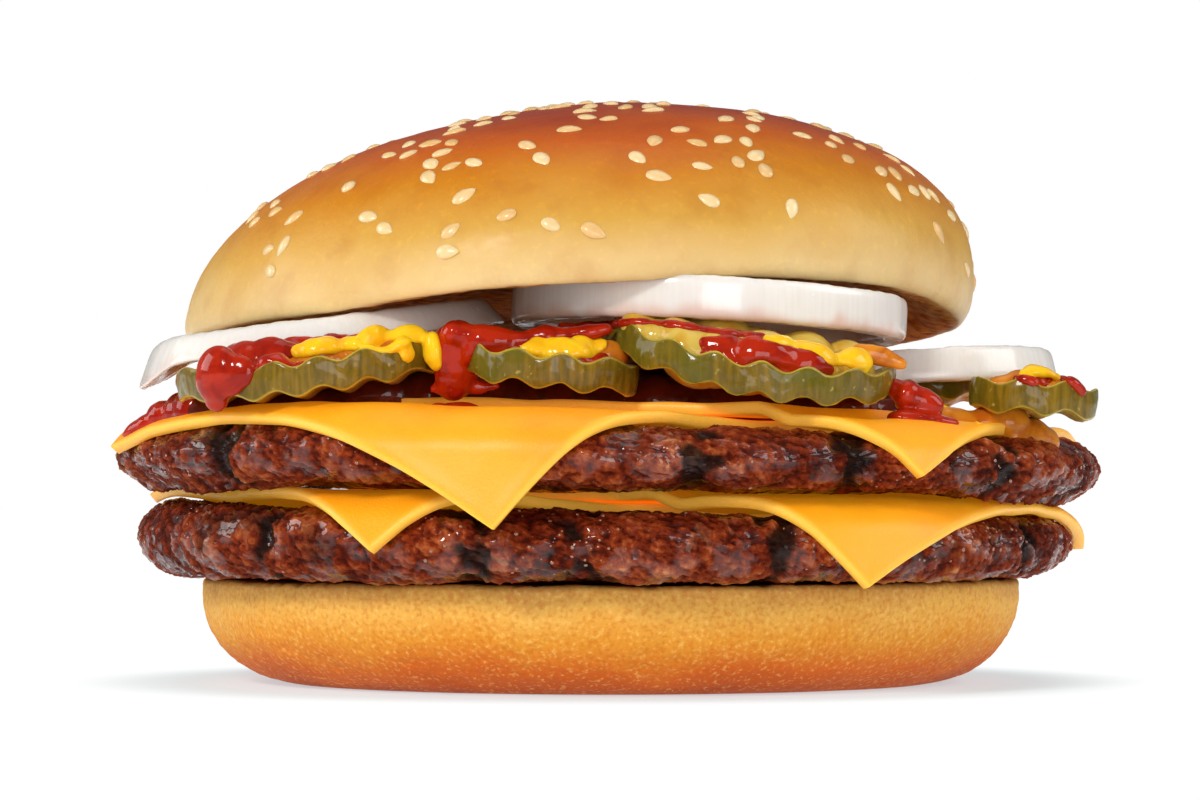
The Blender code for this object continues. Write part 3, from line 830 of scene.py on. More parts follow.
@dataclass(frozen=True)
class Crown:
    """The top half of the bun: a full dome whose top leans to the right, over a hollow cut face."""

    radius: float = 0.0577
    height: float = 0.0296
    lip: float = 0.0030
    lip_inset: float = 0.0014
    hollow: float = 0.0055
    hollow_curve: tuple = ((0.93, 0.0), (0.80, 0.8), (0.55, 1.0), (0.0, 1.0))
    lean: float = 0.0075
    pitch: float = math.radians(-4.2)
    roll: float = math.radians(1.4)
    rises: tuple = ((20, 0.0020), (-35, -0.0012), (-80, 0.0003))
    rise_spread: tuple = (28, 62)
    outline: tuple = ((2, 0.004, 2.1), (3, 0.004, 0.4))
    evenness: float = 0.9  # spreads the rows over the dome
    fullness: float = 2.2  # 2 is an ellipse
    swell: float = 0.00030
    dimple: float = 0.00005
    torn: tuple = (0.00035, 0.00020)  # depth of the crumb's holes and height of its shreds
    bake_patches: float = 0.07
    bake_streaks: float = 0.02
    bare_below: float = 0.14  # share of the height under which no seed lies
    seeded_low: float = 0.78  # how thickly it is seeded low down, over how thickly on its top
    grain: Noise = Noise(8)

    def rows(self) -> Array:
        """Outline from the top, down the dome and round the lip, to the middle of the cut face."""
        share = spaced(0.0, 1.0, 0.40 * MM / (self.radius * 1.25))
        level = np.cos(share * math.pi / 2) ** self.evenness
        dome = np.column_stack((self.radius * np.sqrt(1 - level**self.fullness), self.height * level))
        lip = arc_rows((self.radius - self.lip_inset, 0.0), (self.lip_inset, self.lip), 95, 180, 0.25 * MM)
        reach, depth = np.array(self.hollow_curve[::-1]).T
        inwards = spaced(0.97, 0.0, 1.0 * MM / self.radius)
        sunk = np.interp(inwards, reach, depth)
        sunk = np.convolve(np.pad(sunk, 2, mode="edge"), np.full(5, 0.2), mode="valid")
        face = np.column_stack((self.radius * inwards, self.hollow * sunk - self.lip))
        return np.vstack((dome, lip, face))

    def build(self, finish: bpy.types.Material) -> bpy.types.Object:
        """Makes the crown with its glossy crust and torn cut face.

        Args:
            finish: The crown's material.

        Returns:
            The piece, with the marks "bake", "cut" and "seeded".
        """
        rows = self.rows()
        skin = turned_skin(rows, 0.60 * MM)
        per_row = (len(skin.points) - 2) // (len(rows) - 2)
        cut_from = np.searchsorted(-rows[1:-1, 1], self.lip * 0.6) * per_row
        cut = np.zeros(len(skin.points))
        order = np.arange(len(skin.points))
        past_lip = (order >= cut_from) & (order != len(skin.points) - 2)
        cut[past_lip] = smoothstep(0.981, 0.962, np.hypot(*skin.points[past_lip, :2].T) / self.radius)
        azimuth = azimuth_of(skin.points)
        skin.points[:, :2] *= 1 + waves(azimuth, self.outline)[:, None]
        rise = np.clip((skin.points[:, 2] + self.lip) / (self.height + self.lip), 0.0, 1.0)
        skin.points[:, 0] += self.lean * rise
        outwards = smoothstep(0.5, 1.0, np.hypot(*skin.points[:, :2].T) / self.radius)
        low_down = 1 - smoothstep(0.0, 0.55, rise)
        for middle, bend in self.rises:
            beside = np.abs(np.degrees(azimuth) - middle)
            skin.points[:, 2] += bend * (1 - smoothstep(*self.rise_spread, beside)) * outwards * low_down
        skin.turn(Euler((self.pitch, -self.roll, 0.0)))
        swell = self.swell * self.grain.layered(skin.points * 55, 2)
        dimple = self.dimple * self.grain.layered(skin.points * 400, 2)
        first, _ = self.grain.cells(skin.points * 420)
        holes, shreds = self.torn
        torn = -holes * smoothstep(0.55, 0.1, first) + shreds * self.grain.layered(skin.points * 260, 3)
        skin.push((swell + dimple) * (1 - cut) + torn * cut)
        skin.settle("crown")
        patch = self.grain.layered(skin.points * 38 + 5.0, 3)
        streak = self.grain.layered(skin.points * np.array((90, 90, 25)), 2)
        skin.marks["bake"] = np.clip(rise + self.bake_patches * patch + self.bake_streaks * streak, 0.0, 1.0)
        skin.marks["cut"] = cut
        clumps = smoothstep(-0.40, 0.40, self.grain.layered(skin.points * 105 + 11.0, 2))
        share = self.seeded_low + (1 - self.seeded_low) * smoothstep(0.25, 0.60, rise)
        skin.marks["seeded"] = clumps * share * (rise > self.bare_below) * (1 - cut)
        return skin.build("crown_with_crust", finish)


@dataclass(frozen=True)
class SesameSeeds:
    """Hulled sesame seeds scattered over the crown, flat side down and turned at random."""

    length: float = 0.0036
    breadth: float = 0.0023
    depth: float = 0.0012
    spacing: float = 0.0030
    per_square_metre: float = 74000.0
    sunk: float = 0.00012
    draw: int = 4
    rings: int = 7
    sides: int = 10
    taper: float = 0.42  # how much narrower it gets towards its tip
    tip: float = 1.12  # the tip's distance from the middle, over the blunt end's
    smallest: float = 0.86
    largest: float = 1.10
    tilt: float = 0.16

    def one(self) -> bpy.types.Object:
        """A single seed: a flattened drop, pointed at one end."""
        rows = []
        for ring in range(1, self.rings):
            angle = math.pi * ring / self.rings
            along = -math.cos(angle)
            rows.append((along, math.sin(angle) ** 0.85 * (1 - self.taper * max(0.0, along) ** 1.2)))
        half = np.array((self.length / (1.0 + self.tip), self.breadth / 2, self.depth / 2))
        return small_form("sesame_form", rows, (-1.0, self.tip), self.sides, half)

    def build(self, crown: bpy.types.Object, finish: bpy.types.Material) -> bpy.types.Object:
        """Scatters the seeds.

        Args:
            crown: The surface that carries them, with the mark "seeded".
            finish: The seeds' material.

        Returns:
            All seeds as one mesh, with the mark "tone".
        """
        sizes = {"Spacing": self.spacing, "Density": self.per_square_metre, "Sunk": self.sunk}
        spread = (self.smallest, self.largest, self.tilt)
        return Scatter("sesame_seeds", self.one(), "seeded", self.draw, sizes, *spread).over(crown, finish)


@dataclass
class Scatter:
    """Geometry nodes that strew a small form over a surface where a mark says so."""

    name: str
    form: bpy.types.Object
    where: str
    draw: int
    sizes: dict[str, float] = field(default_factory=dict)
    smallest: float = 0.8
    largest: float = 1.2
    tilt: float = 0.1

    def _tree(self, finish: bpy.types.Material) -> bpy.types.NodeTree:
        """The node tree, from surface to strewn forms."""
        tree = bpy.data.node_groups.new(self.name, "GeometryNodeTree")
        face = tree.interface
        face.new_socket("Surface", in_out="INPUT", socket_type="NodeSocketGeometry")
        for size in ("Spacing", "Density", "Sunk"):
            face.new_socket(size, in_out="INPUT", socket_type="NodeSocketFloat")
        face.new_socket("Seeds", in_out="OUTPUT", socket_type="NodeSocketGeometry")
        node = partial(add_node, tree)
        start = node("NodeGroupInput")
        where = node("GeometryNodeInputNamedAttribute", {"data_type": "FLOAT"}, {"Name": self.where})
        spread = node(
            "GeometryNodeDistributePointsOnFaces",
            {"distribute_method": "POISSON"},
            {
                "Mesh": start.outputs["Surface"],
                "Distance Min": start.outputs["Spacing"],
                "Density Max": start.outputs["Density"],
                "Density Factor": where.outputs["Attribute"],
                "Seed": self.draw,
            },
        )
        down = node("ShaderNodeMath", {"operation": "MULTIPLY"}, {0: start.outputs["Sunk"], 1: -1.0})
        sockets = {0: spread.outputs["Normal"], "Scale": down.outputs[0]}
        inwards = node("ShaderNodeVectorMath", {"operation": "SCALE"}, sockets)
        sockets = {"Geometry": spread.outputs["Points"], "Offset": inwards.outputs[0]}
        sunk = node("GeometryNodeSetPosition", {}, sockets)
        turns = node(
            "FunctionNodeRandomValue",
            {"data_type": "FLOAT_VECTOR"},
            {0: (-self.tilt, -self.tilt, 0.0), 1: (self.tilt, self.tilt, 2 * math.pi), "Seed": self.draw + 1},
        )
        euler = node("FunctionNodeEulerToRotation", {}, {0: turns.outputs["Value"]})
        sockets = {0: spread.outputs["Rotation"], 1: euler.outputs[0]}
        lie = node("FunctionNodeRotateRotation", {"rotation_space": "LOCAL"}, sockets)
        sockets = {2: self.smallest, 3: self.largest, "Seed": self.draw + 2}
        scale = node("FunctionNodeRandomValue", {"data_type": "FLOAT"}, sockets)
        form = node("GeometryNodeObjectInfo", {}, {"Object": self.form})
        strewn = node(
            "GeometryNodeInstanceOnPoints",
            {},
            {
                "Points": sunk.outputs["Geometry"],
                "Instance": form.outputs["Geometry"],
                "Rotation": lie.outputs[0],
                "Scale": scale.outputs[1],
            },
        )
        tone = node("FunctionNodeRandomValue", {"data_type": "FLOAT"}, {"Seed": self.draw + 3})
        toned = node(
            "GeometryNodeStoreNamedAttribute",
            {"data_type": "FLOAT", "domain": "INSTANCE"},
            {"Geometry": strewn.outputs[0], "Name": "tone", "Value": tone.outputs[1]},
        )
        real = node("GeometryNodeRealizeInstances", {}, {"Geometry": toned.outputs[0]})
        dressed = node("GeometryNodeSetMaterial", {}, {"Geometry": real.outputs[0], "Material": finish})
        node("NodeGroupOutput", {}, {"Seeds": dressed.outputs[0]})
        return tree

    def over(self, surface: bpy.types.Object, finish: bpy.types.Material) -> bpy.types.Object:
        """Strews the forms over a surface and makes them a plain mesh.

        Args:
            surface: The object that carries them.
            finish: Their material.

        Returns:
            One object that holds them all.
        """
        tree = self._tree(finish)
        carrier = in_scene(self.name + "_carrier", surface.data)
        modifier = carrier.modifiers.new("Strew", "NODES")
        modifier.node_group = tree
        for item in tree.interface.items_tree:
            if item.in_out == "INPUT" and item.name in self.sizes:
                modifier[item.identifier] = self.sizes[item.name]
        mesh = modified_mesh(carrier)
        bpy.data.objects.remove(carrier)
        bpy.data.objects.remove(self.form)
        mesh.name = self.name
        mesh.shade_smooth()
        return in_scene(self.name, mesh)


# ---- patties and cheese ---------------------------------------------------------------------------
@dataclass(frozen=True)
class Patty:
    """A grilled patty of minced beef. It is laid out round and level, and then bent to its real shape."""

    node: str
    radius: float
    thickness: float
    shoulder: float
    foot: float
    slope_top: float
    slope_base: float
    dish_top: float
    dish_base: float
    left_fall: float
    phase: float
    scorches: tuple  # azimuth, in degrees, and strength of each charred groove
    rest: float = 0.0001  # from its sagging underside to what lies below
    deepest_sag: float = 0.0035
    lump: float = 0.00018
    bead: float = 0.00016
    rough: float = 0.00030
    broad: float = 0.00055
    crack: float = 0.00020
    groove: float = 0.0011
    sunk: float = 0.00055  # brings the mean of the relief back to the outline
    relief_inside: float = 0.25  # share of the relief that the flat middle keeps
    stirred: float = 0.0012  # how far the lumps are warped
    outline: tuple = ((2, 0.010), (3, 0.008), (7, 0.005))  # counts and heights of its waves

    def rows(self) -> Array:
        """Outline from the middle of the top, over the rim, to the middle of the underside."""
        half = self.thickness / 2
        flat_top, flat_base = self.radius - self.shoulder, self.radius - self.foot
        inner = np.linspace(0.0, 0.55 * flat_top, 5)[:-1]
        outer = spaced(0.55 * flat_top, flat_top, 1.2 * MM)[:-1]
        top = level_rows(np.concatenate((inner, outer)), self.thickness)
        over = arc_rows((flat_top, half), (self.shoulder, half), 0, 90, 0.45 * MM)
        under = arc_rows((flat_base, half), (self.foot, half), 90, 180, 0.40 * MM)[1:]
        base = np.concatenate((spaced(flat_base, 0.4 * flat_base, 1.5 * MM)[1:], (0.2 * flat_base, 0.0)))
        base = level_rows(base, 0.0)
        return np.vstack((top, over, under, base))

    def bend(self, points: Array) -> Array:
        """Takes points from the round, level layout to the patty's real shape."""
        x, y, z = points.T
        azimuth = np.arctan2(x, -y)
        reach = np.hypot(x, y) / self.radius
        terms = tuple((*wave, times * self.phase) for times, wave in enumerate(self.outline, 1))
        grow = 1 + waves(azimuth, terms) * smoothstep(0.5, 1.0, reach)
        level = np.clip(z / self.thickness, 0.0, 1.0)
        middle = 1 - smoothstep(0.76, 0.97, reach)
        lift = x * (self.slope_base + (self.slope_top - self.slope_base) * level)
        lift += middle * (self.dish_base + (self.dish_top - self.dish_base) * level)
        lift -= self.left_fall * smoothstep(0.55, 1.0, -x / self.radius) * level
        return np.column_stack((x * grow, y * grow, z + lift))

    def _grooves(self, points: Array, grain: Noise) -> Array:
        """Depth share, 0 to 1, of the charred grooves that run down the rim."""
        azimuth = np.degrees(azimuth_of(points))
        wander = 2.2 * grain.layered(points * 150, 2)
        depth = np.zeros(len(points))
        for middle, strength in self.scorches:
            beside = np.abs((azimuth + wander - middle + 180) % 360 - 180)
            depth = np.maximum(depth, strength * smoothstep(3.4, 0.5, beside))
        patchy = smoothstep(-0.55, 0.25, grain.layered(points * 210 + 3.0, 2))
        return depth * patchy

    def _sag(self, skin: Skin, reach: Array, pile: "Pile") -> None:
        """Lets the soft underside sink onto what lies below it, but for the rim's outermost part."""
        free = (skin.normals()[:, 2] < -0.2) & (reach < 0.99)
        drop = np.zeros(len(reach))
        for number in np.flatnonzero(free):
            met = pile.meet(tuple(skin.points[number]), (0, 0, -1))
            if met is not None:
                room = skin.points[number, 2] - met[0].z - self.rest
                aside = float(smoothstep(0.45, 0.75, abs(skin.points[number, 0]) / self.radius))
                inner = 0.80 + 0.10 * aside
                hold = float(smoothstep(inner + 0.08, inner, reach[number]))
                drop[number] = hold * min(max(room, 0.0), self.deepest_sag * (1 - 0.45 * aside))
        corners = skin.quads.ravel()
        for _ in range(5):
            total = np.bincount(corners, np.repeat(drop[skin.quads].mean(axis=1), 4), len(drop))
            shared = np.bincount(corners, minlength=len(drop))
            drop = np.where(shared > 0, total / np.maximum(shared, 1), drop)
        skin.points[:, 2] -= drop

    def build(self, finish: bpy.types.Material, pile: "Pile") -> bpy.types.Object:
        """Makes the patty with its lumps, strands, pits and charred grooves.

        Args:
            finish: The meat's material.
            pile: What the patty lies on.

        Returns:
            The piece, with the marks "height", which carries painted shade and highlight, "char" and "juicy".
        """
        grain = Noise(round(self.phase * 10))
        skin = turned_skin(self.rows(), 0.55 * MM)
        flat = skin.points.copy()
        skin.points = self.bend(skin.points)
        skin.settle(self.node)
        reach = np.hypot(*flat[:, :2].T) / self.radius
        self._sag(skin, reach, pile)
        rim = smoothstep(0.72, 0.93, reach)
        spot = flat + self.stirred * np.column_stack([grain.smooth(flat * 260 + 9.0 * axis) for axis in range(3)])
        lumps, second = grain.cells(spot * 330)
        lump = smoothstep(0.75, 0.05, lumps)
        crack = smoothstep(0.16, 0.0, second - lumps)
        bead = smoothstep(0.7, 0.1, grain.cells(spot * 800)[0])
        rough = grain.layered(flat * 900, 3, 0.65)
        broad = grain.layered(flat * 95 + 2.0, 2)
        grooves = self._grooves(flat, grain) * rim
        height = self.lump * lump + self.bead * bead + self.rough * rough + self.broad * broad
        height -= self.crack * crack + self.groove * grooves
        skin.push((height - self.sunk) * (self.relief_inside + (1 - self.relief_inside) * rim))
        # Painted shade and highlight: low in the cracks and between lumps, high on the lumps; the meat's ramp reads it
        # as the mark "height".
        shade = 0.46 + 0.12 * lump + 0.12 * bead + 0.22 * rough + 0.22 * broad - 0.20 * crack
        skin.marks["height"] = np.clip(shade, 0.0, 1.0)
        burnt = smoothstep(0.35, 0.8, grain.layered(flat * 75 + 31.0, 3)) * 0.55
        skin.marks["char"] = np.clip(0.92 * smoothstep(0.15, 0.6, grooves) + burnt * rim, 0.0, 0.95)
        wet = smoothstep(0.0, 0.5, grain.layered(flat * 60 + 13.0, 2))
        skin.marks["juicy"] = wet * rim * smoothstep(0.0, 0.3, flat[:, 2] / self.thickness)
        return skin.build(self.node + "_grilled", finish)


@dataclass(frozen=True)
class JuiceBeads:
    """Tiny beads of fat and juice on a patty's rim."""

    radius: float = 0.00024
    spacing: float = 0.0007
    per_square_metre: float = 220000.0
    sunk: float = 0.00004
    rings: int = 4
    sides: int = 8
    lowness: float = 0.62  # height over width
    smallest: float = 0.45
    largest: float = 1.45

    def one(self) -> bpy.types.Object:
        """A single bead: a low, round drop."""
        angles = [math.pi * ring / self.rings for ring in range(1, self.rings)]
        rows = [(-math.cos(angle), math.sin(angle)) for angle in angles]
        bead = small_form("bead_form", rows, (-1.0, 1.0), self.sides, np.array((self.lowness, 1.0, 1.0)) * self.radius)
        bead.data.transform(Matrix.Rotation(-math.pi / 2, 4, "Y"))
        return bead

    def build(self, patty: bpy.types.Object, name: str, draw: int, finish: bpy.types.Material) -> bpy.types.Object:
        """Strews beads over a patty.

        Args:
            patty: The patty, with the mark "juicy".
            name: The piece's name.
            draw: Seed of the random draw.
            finish: The beads' material.

        Returns:
            All beads as one mesh.
        """
        sizes = {"Spacing": self.spacing, "Density": self.per_square_metre, "Sunk": self.sunk}
        return Scatter(name, self.one(), "juicy", draw, sizes, self.smallest, self.largest).over(patty, finish)


@dataclass(frozen=True)
class CheeseSlice:
    """A square slice of melted cheese, draped over its patty's shoulder."""

    node: str
    patty: Patty
    corner: tuple  # plan place of its front corner, from the patty's middle
    heading: float  # direction, in degrees, of the edge to the corner on its right, from +X towards +Y
    steepest: float  # of its front hanging corner, in degrees from the level
    steepest_beside: float  # of the corner that hangs at its side
    under: "CheeseSlice | None" = None
    side: float = 0.0835
    thickness: float = 0.0016
    bow: float = 0.015
    clearance: float = 0.00048
    lift_fade: tuple = (0.0028, 0.0075)
    beside: tuple = (10, 50)
    draw: int = 21
    undulation: float = 0.00028
    blunt: float = 0.009  # share that the corners are drawn in
    ragged: float = 0.004  # share that the edges waver
    edge_swell: tuple = (0.10, 0.0012, 0.0011)  # share, distance from the edge and spread

    def _axes(self) -> tuple[Array, Array]:
        """The two edge directions from the front corner."""
        heading = math.radians(self.heading)
        along = np.array((math.cos(heading), math.sin(heading)))
        return along, np.array((-along[1], along[0]))

    def _plan(self, u: Array, v: Array) -> Array:
        """Plan place of the shares u and v of the two sides, with bulged edges."""
        wide = 0.5 + (u - 0.5) * (1 + 8 * self.bow * v * (1 - v))
        deep = 0.5 + (v - 0.5) * (1 + 8 * self.bow * u * (1 - u))
        along, across = self._axes()
        return np.array(self.corner) + self.side * (wide[:, None] * along + deep[:, None] * across)

    def outside(self, places: Array) -> Array:
        """How far plan places lie outside the slice, negative inside."""
        along, across = self._axes()
        offset = (places - np.array(self.corner)) / self.side - 0.5 * (along + across)
        reach = np.maximum(np.abs(offset @ along), np.abs(offset @ across))
        return (reach - 0.5 - self.bow) * self.side

    def _path(self, steepest: float) -> tuple[Array, Array]:
        """Length, and radius, height and normal, along the way over the rim and down."""
        offset = self.clearance + self.thickness / 2
        half = self.patty.thickness / 2
        angle = np.linspace(0.0, math.pi / 2, 91)
        run, fall = self.patty.shoulder + offset, half + offset
        pitch = np.arctan2(fall * np.sin(angle), run * np.cos(angle))
        kept = pitch <= steepest
        flat = self.patty.radius - self.patty.shoulder
        over = np.column_stack((flat + run * np.sin(angle), half + fall * np.cos(angle)))[kept]
        down = over[-1] + 0.05 * np.array((math.cos(steepest), -math.sin(steepest)))
        way = np.vstack(((0.0, half + fall), over, down))
        normal = np.column_stack((np.sin(pitch[kept]), np.cos(pitch[kept])))
        normal = np.vstack(((0.0, 1.0), normal, normal[-1]))
        length = np.concatenate(((0.0,), np.cumsum(np.hypot(*np.diff(way, axis=0).T))))
        return length, np.column_stack((way, normal))

    def _drape(self, places: Array) -> Array:
        """Lays plan places on the patty's top, over its shoulder and down."""
        distance = np.hypot(*places.T)
        azimuth = np.arctan2(places[:, 0], -places[:, 1])
        front = math.atan2(self.corner[0], -self.corner[1])
        beside = smoothstep(*self.beside, np.degrees(np.abs(azimuth - front)))
        laid = []
        for steepest in (self.steepest, self.steepest_beside):
            length, rows = self._path(math.radians(steepest))
            laid.append(np.array([np.interp(distance, length, column) for column in rows.T]))
        radius, height, out, up = laid[0] * (1 - beside) + laid[1] * beside
        if self.under is not None:
            over = 1 - smoothstep(*self.lift_fade, self.under.outside(places))
            radius = radius + (self.thickness + self.clearance) * over * out
            height = height + (self.thickness + self.clearance) * over * up
        return np.column_stack((radius * np.sin(azimuth), -radius * np.cos(azimuth), height))

    def build(self, finish: bpy.types.Material) -> bpy.types.Object:
        """Makes the slice with its soft, rounded edge.

        Args:
            finish: The cheese's material.

        Returns:
            The piece, with the mark "edge".
        """
        grain = Noise(self.draw)
        share = spaced(-1.0, 1.0, 2 * 0.55 * MM / self.side)
        share = np.sin(share * 1.35) / math.sin(1.35)
        count = len(share)
        a, b = (part.ravel() for part in np.meshgrid(share, share, indexing="ij"))
        blunt = 1 - self.blunt * (a * b) ** 8
        ragged = self.ragged * grain.layered(np.column_stack((a * 3, b * 3, np.zeros(len(a)))), 2)
        near_edge = np.maximum(np.abs(a), np.abs(b)) ** 6
        a, b = (part * blunt * (1 + ragged * near_edge) for part in (a, b))
        middle = self.patty.bend(self._drape(self._plan((a + 1) / 2, (b + 1) / 2)))
        grid = middle.reshape(count, count, 3)
        along, across = np.gradient(grid, axis=0), np.gradient(grid, axis=1)
        normal = np.cross(along, across).reshape(-1, 3)
        normal /= np.linalg.norm(normal, axis=1)[:, None]
        spot = np.column_stack((a, b, np.zeros(len(a)))) * self.side / 2
        middle = middle + normal * (self.undulation * grain.layered(spot * 75, 2))[:, None]
        inset = (1 - np.maximum(np.abs(a), np.abs(b)) / max(np.abs(a).max(), np.abs(b).max())) * self.side / 2
        half = self.thickness / 2
        swell, crest, spread = self.edge_swell
        swollen = 1 + swell * np.exp(-(((inset - crest) / spread) ** 2))
        round_off = np.sqrt(np.clip(1 - np.clip(1 - inset / (half * 1.15), 0.0, 1.0) ** 2, 0.0, 1.0))
        thick = (half * swollen * round_off)[:, None]
        top, base = middle + normal * thick, middle - normal * thick
        index = np.arange(count * count).reshape(count, count)
        rim = np.zeros((count, count), bool)
        rim[0], rim[-1], rim[:, 0], rim[:, -1] = True, True, True, True
        lower = index + count * count
        lower[rim] = index[rim]
        quads = np.stack((index[:-1, :-1], index[1:, :-1], index[1:, 1:], index[:-1, 1:]), axis=-1)
        flipped = np.stack((lower[:-1, :-1], lower[:-1, 1:], lower[1:, 1:], lower[1:, :-1]), axis=-1)
        points = np.vstack((top, base))
        faces = np.vstack((quads.reshape(-1, 4), flipped.reshape(-1, 4)))
        used, faces = np.unique(faces, return_inverse=True)
        skin = Skin(points[used], faces.reshape(-1, 4))
        skin.settle(self.node)
        edge = np.tile(smoothstep(0.0014, 0.0001, inset), 2)
        skin.marks["edge"] = edge[used]
        return skin.build(self.node + "_melted", finish)


# ---- pickles and onion ----------------------------------------------------------------------------
@dataclass(frozen=True)
class PickleChip:
    """A crinkle-cut pickle chip. Pitch lifts its front, roll its right side, and turn its ridges."""

    node: str
    radius: float
    pitch: float = 0.0
    roll: float = 0.0
    turn: float = 0.0
    bend: float = 0.0
    phase: float = 0.0
    thickness: float = 0.0043
    wave_length: float = 0.0062
    wave_height: float = 0.00055
    soft_edge: float = 0.00045
    bulge: float = 0.00022
    wart: float = 0.00018
    pulp: float = 0.00012
    shrink: float = 0.0001
    crooked: float = 0.025  # share that its round outline wavers

    def build(self, finish: bpy.types.Material) -> bpy.types.Object:
        """Makes the chip with its ridged faces and its uneven skin.

        Args:
            finish: The pickle's material.

        Returns:
            The piece, with the marks "skin" and "rind".
        """
        grain = Noise(40 + round(self.radius * 1e5) % 50)
        half, soft = self.thickness / 2, self.soft_edge
        top = level_rows(spaced(0.0, self.radius - soft, 0.5 * MM), half)
        over = arc_rows((self.radius - soft, half - soft), (soft, soft), 0, 90, 0.15 * MM)[1:]
        wall = wall_rows(self.radius, spaced(half - soft, soft - half, 0.25 * MM)[1:-1])
        rows = np.vstack((top, over, wall, over[::-1] * (1, -1), top[::-1] * (1, -1)))
        skin = turned_skin(rows, 0.38 * MM)
        x, y, z = skin.points.T
        radius = np.hypot(x, y)
        level = z / half
        across = np.clip(x / self.radius, -1.0, 1.0)
        y = y * (1 + self.crooked * np.sin(3 * across + 5 * self.phase))
        ridge = np.sin(2 * math.pi * (x / self.wave_length + self.phase))
        z = z + self.wave_height * ridge + self.bend * x**2
        side = smoothstep(self.radius - 2 * soft, self.radius - soft, radius)
        skin.points = np.column_stack((x, y, z))
        bulge = self.bulge * (1 - level**2) * side
        warts = self.wart * grain.layered(skin.points * 420, 2) * side
        pulp = self.pulp * grain.layered(skin.points * 300 + 4.0, 3) * (1 - side)
        skin.push(bulge + warts + pulp - self.shrink)
        skin.marks["skin"] = side * smoothstep(1.0, 0.86, np.abs(level))
        skin.marks["rind"] = side * smoothstep(0.80, 0.98, np.abs(level))
        turned = (-math.radians(self.pitch), -math.radians(self.roll), math.radians(self.turn))
        skin.turn(Euler(turned, "ZXY"))
        skin.settle(self.node)
        return skin.build(self.node + "_chip", finish)


@dataclass(frozen=True)
class OnionRing:
    """A raw onion ring: an upright band with squared edges, wider below, whose left end may sag."""

    node: str
    radius: float
    height: float
    pitch: float
    roll: float
    flare: float = 0.0
    sag: float = 0.0
    phase: float = 0.0
    # Strength of the reddish tint low on the ring: partly sauce soaked in, partly painted reflection and shade of the
    # sauce below.
    stain: float = 0.0
    wall: float = 0.0036
    squareness: float = 0.42
    fibre: float = 0.00002
    swell: float = 0.00012
    shrink: float = 0.00005
    sawn: float = 0.00010  # roughness of its two cut faces
    outline: tuple = ((2, 0.03), (5, 0.012))  # counts and heights of its waves

    def build(self, finish: bpy.types.Material) -> bpy.types.Object:
        """Makes the ring with its fibres.

        Args:
            finish: The onion's material.

        Returns:
            The piece, with the marks "cut" and "stain".
        """
        grain = Noise(60 + round(self.radius * 1e4))
        round_count = len(spaced(0.0, 2 * math.pi * self.radius, 0.42 * MM))
        azimuth = np.linspace(0.0, 2 * math.pi, round_count, endpoint=False)
        turn = np.linspace(0.0, 2 * math.pi, len(spaced(0, 1, 1 / 64)) - 1, endpoint=False)
        turn = turn - 0.25 * np.sin(4 * turn) * 0.9
        side = np.sign(np.cos(turn)) * np.abs(np.cos(turn)) ** self.squareness
        up = np.sign(np.sin(turn)) * np.abs(np.sin(turn)) ** self.squareness
        azimuth, side, up = azimuth[:, None], side[None], up[None]
        terms = tuple((*wave, self.phase) for wave in self.outline)
        middle = (self.radius - self.wall / 2) * (1 + waves(azimuth, terms))
        radius = middle + (side * self.wall - up * self.flare) / 2
        x, y = radius * np.sin(azimuth), -radius * np.cos(azimuth)
        height = up * self.height / 2
        height = height - self.sag * smoothstep(0.72, 1.05, -x / self.radius) * (3 - up) / 4
        skin = looped_skin(np.stack((x, y, height), axis=-1))
        around = np.repeat(azimuth.ravel(), up.size)
        upright = np.tile(up.ravel(), azimuth.size)
        spot = np.column_stack((np.sin(around), np.cos(around), upright * 0.02)) * self.radius
        fibres = self.fibre * grain.layered(spot * 1500, 2)
        swell = self.swell * grain.layered(spot * 180, 2)
        flat = smoothstep(0.90, 0.99, np.abs(upright))
        skin.push(fibres * (1 - flat) + swell - self.shrink + self.sawn * flat * grain.layered(skin.points * 500, 3))
        skin.marks["cut"] = flat
        # Low on the ring: partly sauce soaked in, partly painted reflection and shade of the sauce below.
        low = smoothstep(-0.2, -1.0, upright + 0.5 * grain.layered(spot * 140 + 7.0, 3))
        skin.marks["stain"] = self.stain * low
        skin.turn(Euler((-math.radians(self.pitch), -math.radians(self.roll), 0.0), "ZXY"))
        skin.settle(self.node)
        return skin.build(self.node + "_ring", finish)


# ---- sauces ---------------------------------------------------------------------------------------
@dataclass(frozen=True)
class Stroke:
    """A run of sauce: places on its way and its half width at each."""

    way: tuple  # X and Z seen from the front, or X and Y seen from above, in millimetres
    width: tuple  # half width at each place, in millimetres
    thickness: float = 0.6  # height over half width
    above: bool = False  # laid from above, not from the front
    behind: float = -0.030  # Y past which a stroke laid from the front bridges a gap
    front: float = -0.052  # Y of such a stroke if it meets nothing at all


class Pile:
    """The finished pieces that sauce can lie on."""

    def __init__(self) -> None:
        """Starts with nothing to lie on."""
        self.lying: list[BVHTree] = []
        self.upright: list[BVHTree] = []

    def add(self, piece: bpy.types.Object, upright: bool = False) -> None:
        """Counts a piece, in place, as part of the pile, lying flat or standing upright."""
        mesh = piece.data
        tree = BVHTree.FromPolygons([v.co[:] for v in mesh.vertices], [p.vertices[:] for p in mesh.polygons])
        (self.upright if upright else self.lying).append(tree)

    def meet(self, start: Point, direction: Point) -> tuple[Vector, Vector] | None:
        """Where a straight line first meets the pile. A line that goes down passes upright pieces by.

        Args:
            start: The line's start.
            direction: Its direction.

        Returns:
            The place and the surface's direction there, or None.
        """
        trees = self.lying if direction[2] < 0 else self.lying + self.upright
        hits = [tree.ray_cast(Vector(start), Vector(direction)) for tree in trees]
        hits = [hit for hit in hits if hit[0] is not None]
        if not hits:
            return None
        place, normal, _, _ = min(hits, key=lambda hit: hit[3])
        return place, normal


